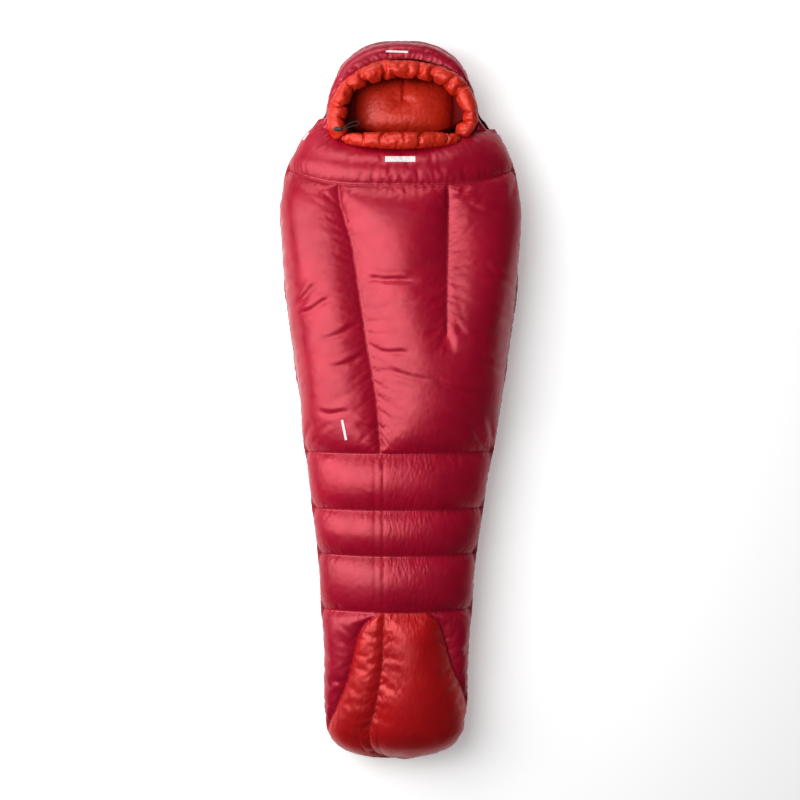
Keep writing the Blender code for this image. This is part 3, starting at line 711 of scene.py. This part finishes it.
def fabric(name, colour, rough=0.33, weave=0.05, crease=0.03, sheen=0.0, metal=0.22, scale=1.0):
    """Woven nylon: ripstop grid, fine creases, slight change of tone and gloss."""
    mat, t, bsdf = new_material(name)
    link = t.links.new
    place = node(t, "ShaderNodeTexCoord")
    tone = texture(t, place, "ShaderNodeTexNoise", Scale=7.0 * scale, Detail=5.0, Roughness=0.6)
    shade = ramp_colour(t, tone, [c * 0.86 for c in colour], [min(c * 1.10, 1) for c in colour],
                        (0.30, 0.72))
    ripstop = texture(t, place, "ShaderNodeTexBrick", Scale=95.0 * scale, Mortar_Size=0.05,
                      Brick_Width=0.5, Row_Height=0.5, Color1=(1, 1, 1, 1),
                      Color2=(0.97, 0.97, 0.97, 1), Mortar=(0.82, 0.82, 0.82, 1))
    ripstop.offset = 0.0
    mix = node(t, "ShaderNodeMix", data_type="RGBA", blend_type="MULTIPLY")
    mix.inputs["Factor"].default_value = 0.25
    link(shade, mix.inputs["A"])
    link(ripstop.outputs["Color"], mix.inputs["B"])
    link(mix.outputs["Result"], bsdf.inputs["Base Color"])
    gloss = texture(t, place, "ShaderNodeTexNoise", Scale=26.0 * scale, Detail=3.0)
    span = put(node(t, "ShaderNodeMapRange"), From_Min=0.3, From_Max=0.7,
               To_Min=rough - 0.05, To_Max=rough + 0.07)
    link(gloss.outputs["Fac"], span.inputs["Value"])
    link(span.outputs["Result"], bsdf.inputs["Roughness"])
    folds = texture(t, place, "ShaderNodeTexNoise", Scale=22.0 * scale, Detail=4.0, Roughness=0.5,
                    Distortion=0.8)
    bump = put(node(t, "ShaderNodeBump"), Strength=crease, Distance=0.0022)
    link(folds.outputs["Fac"], bump.inputs["Height"])
    thread = texture(t, place, "ShaderNodeTexWave", Scale=420.0 * scale, Distortion=0.4)
    fine = put(node(t, "ShaderNodeBump"), Strength=weave, Distance=0.0004)
    link(thread.outputs["Fac"], fine.inputs["Height"])
    link(bump.outputs["Normal"], fine.inputs["Normal"])
    link(fine.outputs["Normal"], bsdf.inputs["Normal"])
    put(bsdf, Metallic=metal, Sheen_Weight=sheen, Sheen_Roughness=0.4,
        Sheen_Tint=(1.0, 0.75, 0.75, 1), Specular_IOR_Level=0.40)
    return mat


def solid(name, colour, rough, metal=0.0, grain=300.0, depth=0.2):
    """Moulded or metal surface with fine grain and uneven gloss."""
    mat, t, bsdf = new_material(name)
    place = node(t, "ShaderNodeTexCoord")
    tone = texture(t, place, "ShaderNodeTexNoise", Scale=grain, Detail=3.0)
    shade = ramp_colour(t, tone, [c * 0.75 for c in colour], [min(1, c * 1.2) for c in colour])
    t.links.new(shade, bsdf.inputs["Base Color"])
    span = put(node(t, "ShaderNodeMapRange"), To_Min=rough - 0.1, To_Max=rough + 0.1)
    t.links.new(tone.outputs["Fac"], span.inputs["Value"])
    t.links.new(span.outputs["Result"], bsdf.inputs["Roughness"])
    bump = put(node(t, "ShaderNodeBump"), Strength=depth, Distance=0.0003)
    t.links.new(tone.outputs["Fac"], bump.inputs["Height"])
    t.links.new(bump.outputs["Normal"], bsdf.inputs["Normal"])
    bsdf.inputs["Metallic"].default_value = metal
    return mat


# ---- pieces

def lining_grid(lower):
    """Quilted inside of the cover or of the back."""
    y_top = 0.800 if lower else NECK_Y
    ys = np.concatenate([np.linspace(y_top, -0.95, 250), np.linspace(-0.955, -1.02, 12)])
    seams = BACK_SEAMS if lower else (YOKE[0], *LEG_SEAMS)
    a = np.linspace(0, math.pi, 91)[None, :] + 0 * ys[:, None]
    y = ys[:, None] + 0 * a
    if not lower:
        y = y + (row_curve(0, a) - NECK_Y) * np.clip((y - 0.3) / 0.44, 0, 1)
    near = np.min([np.abs(y - s) for s in seams], axis=0)
    puff = 0.011 * (1 - np.exp(-(near / 0.024) ** 1.3))
    wave = 0.0026 * np.exp(-near / 0.035) * np.sin(a * 95 + 7 * np.sin(y * 31 + a * 3))
    wave += 0.0012 * np.sin(y * 70 + 4 * np.sin(a * 5)) * np.sin(a * 9 + 3 * np.sin(y * 11))
    if not lower:
        edge = np.clip((row_curve(0, a) - y) / 0.05, 0, 1)
        depth = 0.030 + 0.012 * edge ** 0.5
    else:
        depth = 0.044 + 0 * y
    inset = depth + puff + wave
    grid = section(y, a, inset, inset, lower)
    if lower:
        grid[..., 2] = SEAM_Z - (SEAM_Z - inset) * np.abs(np.sin(a)) ** ROUND_BOTTOM
    # The last strip on the right runs over to the zip tape.
    strip = 0.16
    right = a < strip
    t = np.clip((strip - a) / strip, 0, 1) * (y > ZIP_END[1])
    grid[..., 0] = np.where(right, grid[..., 0] * (1 - t) + (zip_x(y) - 0.001) * t, grid[..., 0])
    lift = -ZIP_LIFT if lower else ZIP_LIFT
    grid[..., 2] = np.where(right, grid[..., 2] * (1 - t) + (SEAM_Z + lift) * t, grid[..., 2])
    return grid


def neck_binding(outer, angles, inner):
    """Rounded lip that joins the top edge of the cover to its lining."""
    span = np.linspace(0, math.pi, inner.shape[0])
    inside = np.stack([np.interp(angles, span, inner[:, k]) for k in range(3)], -1)
    rows = []
    for t in np.linspace(0, 1, 8):
        row = outer * (1 - t) + inside * t
        row[:, 1] += 0.005 * math.sin(math.pi * t) + 0.0005 * np.sin(angles * 90)
        rows.append(row)
    return np.array(rows)


def stitches(name, runs, material, radius=0.0008, on=0.0036, off=0.0014):
    """Thread dashes along seam polylines, each a small four-sided bar."""
    verts, faces = [], []
    for run in runs:
        run = np.asarray(run)
        arc = arc_length(run)
        starts = np.arange(0.002, arc[-1] - on, on + off)
        for s0 in starts:
            p = [np.array([np.interp(s, arc, run[:, k]) for k in range(3)])
                 for s in (s0, s0 + on)]
            way = (p[1] - p[0]) / max(np.linalg.norm(p[1] - p[0]), 1e-9)
            side = np.cross(way, [0, 0, 1.0])
            side /= max(np.linalg.norm(side), 1e-9)
            up = np.cross(side, way)
            base = len(verts)
            for q in p:
                for u, v in ((-1, 0), (0, -1), (1, 0), (0, 1)):
                    verts.append(q + side * u * radius + up * (v * radius + 0.0006))
            faces += bar_faces(base, 2)
    return new_object(name, [tuple(v) for v in verts], faces, material)


def surface_tree(*obs):
    """Ray-castable copy of some pieces."""
    verts, faces = [], []
    for ob in obs:
        base = len(verts)
        verts += [v.co.copy() for v in ob.data.vertices]
        faces += [[base + k for k in p.vertices] for p in ob.data.polygons]
    return BVHTree.FromPolygons(verts, faces)


def decal(name, tree, centre, size, turn, material, thick=0.0013, count=(36, 10)):
    """Thin label that lies on a surface below it."""
    cos, sin = math.cos(turn), math.sin(turn)
    layers = []
    for lift in (thick, 0.0001):
        rows = []
        for i in range(count[0] + 1):
            u = (i / count[0] - 0.5) * size[0]
            row = []
            for j in range(count[1] + 1):
                v = (j / count[1] - 0.5) * size[1]
                x, y = centre[0] + u * cos - v * sin, centre[1] + u * sin + v * cos
                hit, normal, _, _ = tree.ray_cast(Vector((x, y, 1.0)), Vector((0, 0, -1)))
                hit = hit if hit else Vector((x, y, 0.1))
                up = normal if normal and normal.z > 0 else Vector((0, 0, 1))
                row.append(hit + up * lift)
            rows.append(row)
        layers.append(rows)
    bm = bmesh.new()
    top, low = ([[bm.verts.new(p) for p in row] for row in rows] for rows in layers)
    n, m = count
    for i in range(n):
        for j in range(m):
            bm.faces.new((top[i][j], top[i + 1][j], top[i + 1][j + 1], top[i][j + 1]))
            bm.faces.new((low[i][j], low[i][j + 1], low[i + 1][j + 1], low[i + 1][j]))
    for j in range(m):
        bm.faces.new((top[0][j], top[0][j + 1], low[0][j + 1], low[0][j]))
        bm.faces.new((top[n][j + 1], top[n][j], low[n][j], low[n][j + 1]))
    for i in range(n):
        bm.faces.new((top[i + 1][0], top[i][0], low[i][0], low[i + 1][0]))
        bm.faces.new((top[i][m], top[i + 1][m], low[i + 1][m], low[i][m]))
    ob = new_object(name, [], [], material)
    bm.to_mesh(ob.data)
    bm.free()
    return ob


def zip_frame(y, z=SEAM_Z):
    """Point, direction along and direction outwards at a station of the zip."""
    p = Vector((float(zip_x(y)), y, z))
    q = Vector((float(zip_x(y + 0.002)), y + 0.002, z))
    along = (q - p).normalized()
    return p, along, along.cross(Vector((0, 0, 1))).normalized()


def ribbon(name, y0, y1, z0, z1, material, thick=0.0008):
    """Zip tape between two heights, slightly wavy on the edge away from the teeth."""
    count = 200
    rings = []
    for i in range(count + 1):
        p, along, out = zip_frame(y0 + (y1 - y0) * i / count, 0.0)
        wave = 0.0006 * math.sin(i * 0.9)
        near, far = (z0, z1) if abs(z0 - SEAM_Z) < abs(z1 - SEAM_Z) else (z1, z0)
        rings.append([p + out * -thick / 2 + Vector((0, 0, near)),
                      p + out * thick / 2 + Vector((0, 0, near)),
                      p + out * (thick / 2 + wave) + Vector((0, 0, far)),
                      p + out * (-thick / 2 + wave) + Vector((0, 0, far))])
    grid = np.array([[tuple(v) for v in ring] for ring in rings])
    ob = grid_mesh(name, grid, material, wrap=True)
    ob.data.polygons.foreach_set("use_smooth", [False] * len(ob.data.polygons))
    return ob


def teeth(name, y0, y1, upper, material, pitch=0.0026):
    """One row of zip teeth: rounded blocks that reach past the centre line in turn."""
    verts, faces = [], []
    length = math.hypot(y1 - y0, float(zip_x(y1) - zip_x(y0)))
    count = int(length / pitch)
    sign = 1 if upper else -1
    for i in range(count):
        shift = (i + (0.0 if upper else 0.5)) / count
        p, along, out = zip_frame(y0 + (y1 - y0) * shift)
        base = len(verts)
        for reach, half, wide in ((-0.0006, 0.00035, 0.0010), (0.0008, 0.00062, 0.0015),
                                  (0.0040, 0.00050, 0.0015)):
            for u, v in ((-1, -1), (1, -1), (1, 1), (-1, 1)):
                verts.append(p + along * u * half + out * v * wide
                             + Vector((0, 0, sign * reach)))
        faces += bar_faces(base, 3)
    return new_object(name, [tuple(v) for v in verts], faces, material)


def dress(name, material, bevel):
    """Material and softened edges on a solid that is shown as it is."""
    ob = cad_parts[name]
    ob.data.materials.clear()
    ob.data.materials.append(material)
    mod = ob.modifiers.new("edges", "BEVEL")
    mod.width = bevel
    mod.segments = 2
    mod.limit_method = "ANGLE"
    mod.angle_limit = math.radians(40)


def soft_piece(nodes):
    """Hide the solids that a padded piece stands for."""
    if nodes:
        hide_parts(*nodes)


# ---- the bag

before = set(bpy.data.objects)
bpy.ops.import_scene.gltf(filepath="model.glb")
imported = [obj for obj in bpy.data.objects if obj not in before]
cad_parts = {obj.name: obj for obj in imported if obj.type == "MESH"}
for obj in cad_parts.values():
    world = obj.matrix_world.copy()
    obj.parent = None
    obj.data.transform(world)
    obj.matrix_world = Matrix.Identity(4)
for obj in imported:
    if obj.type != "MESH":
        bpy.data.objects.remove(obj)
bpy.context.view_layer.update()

shell_mat = fabric("shell_nylon", CRIMSON)
# Darker copy of the shell fabric, which is painted shade.
shaded_shell_mat = fabric("painted_shade_shell", SHADED_CRIMSON)
foot_mat = fabric("foot_nylon", ORANGE, 0.33)
lining_mat = fabric("lining_nylon", LINING, 0.40, crease=0.10, metal=0.12)
# Lining colour made less than half as bright, matte and with little gloss: painted shade for the
# hood's inner wall under the face roll.
painted_shade_mat = fabric("painted_shade_lining", (0.260, 0.0040, 0.0060), 0.55, metal=0.0)
painted_shade_mat.node_tree.nodes["Principled BSDF"].inputs["Specular IOR Level"].default_value = 0.1
thread_mat = fabric("thread", (0.17, 0.002, 0.012), 0.7, weave=0.5, metal=0.0, scale=3.0)
tape_mat = fabric("zip_tape_weave", (0.03, 0.028, 0.03), 0.75, weave=0.8, sheen=0.4, metal=0.0)
tooth_mat = solid("zip_teeth_nylon", (0.16, 0.14, 0.12), 0.38)
metal_mat = solid("cast_metal", (0.34, 0.33, 0.31), 0.33, 1.0, 160.0)
black_mat = solid("black_nylon", (0.018, 0.018, 0.020), 0.45, 0.0, 500.0)
cord_mat = fabric("braid", (0.022, 0.022, 0.026), 0.65, weave=0.9, metal=0.0, scale=3.0)
print_mat = fabric("white_print", (0.78, 0.74, 0.74), 0.55, weave=0.3, metal=0.0)

cover, panel, seams, edge = cover_quilt()
back = back_quilt()
hood = hood_quilt()
pillow = hood_pillow()
muff_knots = [(-0.172, 0.772, 0.152), (-0.189, 0.805, 0.166), (-0.189, 0.845, 0.171),
              (-0.177, 0.887, 0.173), (-0.150, 0.926, 0.174), (-0.105, 0.958, 0.175),
              (-0.047, 0.975, 0.176), (0.010, 0.979, 0.176), (0.067, 0.974, 0.176),
              (0.122, 0.957, 0.175), (0.166, 0.926, 0.174), (0.193, 0.887, 0.173),
              (0.203, 0.850, 0.171), (0.197, 0.815, 0.166), (0.170, 0.780, 0.154)]
muff_path = spline(muff_knots, 138)
muff_size = 0.0245 * (1 + 0.08 * np.sin(np.linspace(0, 19, 138)))
pinches = [(0.085, 0.30, 0.020), (0.165, 0.45, -0.014), (0.240, 0.20, 0.022),
           (0.330, 0.60, -0.016), (0.405, 0.62, 0.016), (0.470, 0.20, -0.022),
           (0.560, 0.35, 0.014), (0.640, 0.58, -0.016), (0.700, 0.24, 0.020),
           (0.785, 0.50, -0.014), (0.870, 0.30, 0.016), (0.935, 0.35, -0.014)]
muff = roll(muff_path, muff_size, 36, 0.0, pinches, 7, (0.17, 0.08))
xs = np.linspace(-0.172, 0.172, 92)
collar_size = 0.0245 - 0.011 * (np.abs(xs) / 0.172) ** 2
collar_path = [(x, 0.785 - r, 0.208 - 0.9 * x * x) for x, r in zip(xs, collar_size)]
collar_pinch = [(0.16, 0.3, 0.03), (0.36, 0.42, -0.03), (0.50, 0.2, 0.03), (0.68, 0.5, -0.03),
                (0.86, 0.3, 0.03)]
collar = roll(collar_path, collar_size, 32, math.pi, collar_pinch, 6, (0.13, 0.07))
tube_y = np.linspace(ZIP_END[1] + 0.06, ZIP_TOP_Y - 0.02, 210)
tube_path = [(float(zip_x(v)) - 0.025, v, SEAM_Z + 0.012) for v in tube_y]
draft = roll(tube_path, 0.0120, 14, math.pi, [], 5, (0.08, 0.05), 0.8)
run_cloth()

calm(cover, 4)
for crease in CREASES:
    press_crease(cover, *crease)
legs = cover.grid[seams[2] + 4:seams[5] - 3]
for fold_x in LEG_FOLDS:
    legs[..., 2] -= 0.0012 * np.exp(-((legs[..., 0] - fold_x) / 0.0055) ** 2)
calm(back, 2)
calm(hood, 2, 0.01)
back.grid[..., 2] = np.maximum(back.grid[..., 2], 0.0004)


def quad_panel(f, cols):
    """Whether a face of the cover belongs to the foot panel."""
    return all(panel[v // cols, v % cols] for v in f)


cover_shell = grid_mesh("cover_shell", cover.grid, shell_mat,
                        keep=lambda f, c: not quad_panel(f, c))
foot_panel = grid_mesh("foot_panel", cover.grid, foot_mat, keep=quad_panel)
# Back, hood outside and brim facing use the darkened shell fabric, which is painted shade.
back_shell = grid_mesh("back_shell", back.grid, shaded_shell_mat, flip=True)
hood_shell = grid_mesh("hood_shell", hood.grid, shaded_shell_mat, flip=True)
hood_inside = grid_mesh("hood_inside", pillow.grid, lining_mat)
bowl = hood_bowl()


def facing(f, cols):
    """The strip of the wall right under the middle of the face roll."""
    return all(v // cols < 10 and 26 <= v % cols <= 47 for v in f)


# The hood's inner wall gets the darkened lining, which is painted shade.
hood_wall = grid_mesh("hood_wall", bowl, painted_shade_mat, wrap=True,
                      keep=lambda f, c: not facing(f, c))
brim_facing = grid_mesh("brim_facing", bowl, shaded_shell_mat, wrap=True, keep=facing)
face_roll = grid_mesh("face_roll", muff.grid, lining_mat, wrap=True, flip=True)
collar_roll = grid_mesh("collar_roll", collar.grid, lining_mat, wrap=True, flip=True)
draft_roll = grid_mesh("draft_roll", draft.grid, lining_mat, wrap=True, flip=True)
lining = lining_grid(False)
cover_lining = grid_mesh("cover_lining", lining, lining_mat, flip=True)
neck_lip = grid_mesh("neck_lip", neck_binding(cover.grid[0], cover_angles()[1][0], lining[0]),
                     shell_mat, flip=True)
back_lining = grid_mesh("back_lining", lining_grid(True), lining_mat)

runs = []
for kind, k, r0, r1 in cover.lines:
    if kind == "row" and k not in (0, seams[-1]):
        runs.append(cover.grid[k])
    if kind == "column" and k not in (0, cover.grid.shape[1] - 1):
        runs.append(cover.grid[r0:r1, k])
for left in (False, True):
    runs.append([cover.grid[i, j] for i, j in edge if (j > EDGE_L) == left])
cover_thread = stitches("cover_thread", runs, thread_mat)
hood_thread = stitches("hood_thread", [hood.grid[:, HOOD_SEAM]], thread_mat)

tree = surface_tree(cover_shell, foot_panel, hood_shell)
chest_mark = decal("chest_mark", tree, (-0.002, 0.704), (0.088, 0.017), 0.0, print_mat)
hip_mark = decal("hip_mark", tree, (-0.167, -0.091), (0.007, 0.060), 0.20, print_mat,
                 count=(6, 30))
hood_mark = decal("hood_mark", tree, (-0.012, 1.030), (0.066, 0.006), -0.04, print_mat)
shoulder_mark = decal("shoulder_mark", tree, (-0.283, 0.782), (0.005, 0.026), -0.60, print_mat,
                      count=(5, 16))

tape_y = (ZIP_END[1] + 0.007, ZIP_TOP_Y)
teeth_y = (ZIP_END[1] + 0.012, ZIP_TOP_Y - 0.004)
upper_tape = ribbon("upper_tape", *tape_y, *TAPE_UPPER, tape_mat)
lower_tape = ribbon("lower_tape", *tape_y, *TAPE_LOWER, tape_mat)
upper_teeth = teeth("upper_teeth", *teeth_y, True, tooth_mat)
lower_teeth = teeth("lower_teeth", *teeth_y, False, tooth_mat)

soft_piece(["yoke_left", "yoke_right", "chest_left", "chest_centre_base", "chest_centre_flap",
            "chest_right", "leg_baffle_1_base", "leg_baffle_1_flap", "leg_baffle_2_base",
            "leg_baffle_2_flap", "leg_baffle_3", "footbox_gusset_left", "footbox_gusset_right"])
soft_piece([])
soft_piece(["footbox_top"])
soft_piece(["footbox_sole", "hood_back",
                                      *["back_baffle_%d" % k for k in range(1, 7)]])
soft_piece(["hood_left", "hood_crown", "hood_right"])
soft_piece(["hood_pillow"])
soft_piece([])
soft_piece([])
soft_piece(["face_muff"])
soft_piece(["collar_left", "collar_right"])
soft_piece(["draft_tube"])
soft_piece(["lining_cover_base", "lining_cover_flap"])
soft_piece(["lining_back"])
for ob, slot, old in ((upper_tape, "zip_tape", "zip_tape_upper"),
                      (lower_tape, "zip_tape", "zip_tape_lower"),
                      (upper_teeth, "zip_coil", "zip_coil_upper"),
                      (lower_teeth, "zip_coil", "zip_coil_lower"),
                      (chest_mark, "label_white", "chest_label"),
                      (hip_mark, "label_white", "hip_label"),
                      (shoulder_mark, "label_white", "shoulder_label"),
                      (hood_mark, "label_white", "hood_label")):
    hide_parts(old)
for ob in (cover_shell, cover_lining, neck_lip, collar_roll, draft_roll, cover_thread, upper_tape,
           upper_teeth, chest_mark):
    with_fold(ob)
for ob in (back_shell, back_lining, hood_shell, hood_inside, hood_wall, face_roll, hood_thread):
    with_hood(ob)
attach(brim_facing, "hood")
for ob in (foot_panel, lower_tape, lower_teeth, hip_mark, shoulder_mark):
    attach(ob, "base")
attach(hood_mark, "hood")

for name in ("slider_upper", "slider_lower", "bridge_upper", "bridge_lower", "zip_stop_bottom",
             "zip_stop_top", "puller_ring_upper", "puller_ring_lower"):
    dress(name, metal_mat, 0.0003)
for name in ("puller_tab_upper", "puller_tab_lower", "cord_lock", "lock_button"):
    dress(name, black_mat, 0.0005)

# The cord leaves the lock, goes over the chin roll and comes back beside itself.
lock_low, lock_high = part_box("cord_lock")
start = Vector((lock_high.x + 0.0018, (lock_low.y + lock_high.y) / 2,
                (lock_low.z + lock_high.z) / 2))
route = spline([(0.000, -0.0022, 0.0), (0.0045, -0.0022, 0.0010), (0.009, -0.0014, 0.0055),
                (0.014, 0.0006, 0.012), (0.024, 0.0040, 0.018), (0.034, 0.0062, 0.0198),
                (0.0445, 0.0075, 0.020), (0.0489, 0.0093, 0.020), (0.0507, 0.0137, 0.020),
                (0.0489, 0.0181, 0.020), (0.0445, 0.0199, 0.020), (0.034, 0.0178, 0.0198),
                (0.024, 0.0142, 0.018), (0.014, 0.0090, 0.012), (0.009, 0.0052, 0.0055),
                (0.0045, 0.0026, 0.0010), (0.000, 0.0024, 0.0)], 38)
curve = bpy.data.curves.new("drawcord", "CURVE")
curve.dimensions = "3D"
curve.bevel_depth = 0.0014
curve.bevel_resolution = 3
curve.use_fill_caps = True
line = curve.splines.new("POLY")
line.points.add(len(route) - 1)
for point, (x, y, z) in zip(line.points, route):
    point.co = (start.x + x, start.y + y, start.z + z, 1.0)
curve.materials.append(cord_mat)
drawcord = bpy.data.objects.new("drawcord", curve)
bpy.context.scene.collection.objects.link(drawcord)
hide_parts("drawcord_loop")
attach(drawcord, "base")


def stage():
    """White floor, pale background for the camera only, two soft lamps and the camera."""
    bpy.ops.mesh.primitive_plane_add(size=30)
    floor = bpy.context.object
    floor.name = "floor"
    mat, t, bsdf = new_material("floor")
    noise = put(node(t, "ShaderNodeTexNoise"), Scale=2.0)
    t.links.new(ramp_colour(t, noise, [0.90] * 3, [0.93] * 3), bsdf.inputs["Base Color"])
    put(bsdf, Roughness=0.9, Emission_Color=(1, 1, 1, 1), Emission_Strength=0.36)
    floor.data.materials.append(mat)
    scene = bpy.context.scene
    world = bpy.data.worlds.new("studio")
    scene.world = world
    world.use_nodes = True
    t = world.node_tree
    dim = put(t.nodes["Background"], Color=(1, 1, 1, 1), Strength=0.05)
    pale = put(node(t, "ShaderNodeBackground"), Color=(1, 1, 1, 1), Strength=0.44)
    ray = node(t, "ShaderNodeLightPath")
    mix = node(t, "ShaderNodeMixShader")
    t.links.new(ray.outputs["Is Camera Ray"], mix.inputs[0])
    t.links.new(dim.outputs[0], mix.inputs[1])
    t.links.new(pale.outputs[0], mix.inputs[2])
    t.links.new(mix.outputs[0], t.nodes["World Output"].inputs[0])

    def lamp(name, place, aim, energy, size):
        data = bpy.data.lights.new(name, "AREA")
        data.shape = "RECTANGLE"
        data.size, data.size_y = size
        data.energy = energy
        ob = bpy.data.objects.new(name, data)
        scene.collection.objects.link(ob)
        ob.location = place
        ob.rotation_euler = (Vector(aim) - Vector(place)).to_track_quat("-Z", "Y").to_euler()
        ob.visible_camera = False

    lamp("key", (-1.55, 0.25, 2.30), (0.10, 0.0, 0.10), 122, (2.3, 3.6))
    lamp("head", (-0.9, 2.9, 1.7), (0.0, 0.75, 0.15), 42, (2.4, 1.3))
    camera = bpy.data.cameras.new("camera")
    camera.lens = 85
    camera.sensor_width = 36
    view_wide, middle_z = 2.402, 0.10
    ob = bpy.data.objects.new("camera", camera)
    scene.collection.objects.link(ob)
    ob.location = (-0.003, -0.003, middle_z + view_wide * camera.lens / camera.sensor_width)
    scene.camera = ob
    scene.view_settings.view_transform = "Standard"
    scene.view_settings.look = "None"


stage()
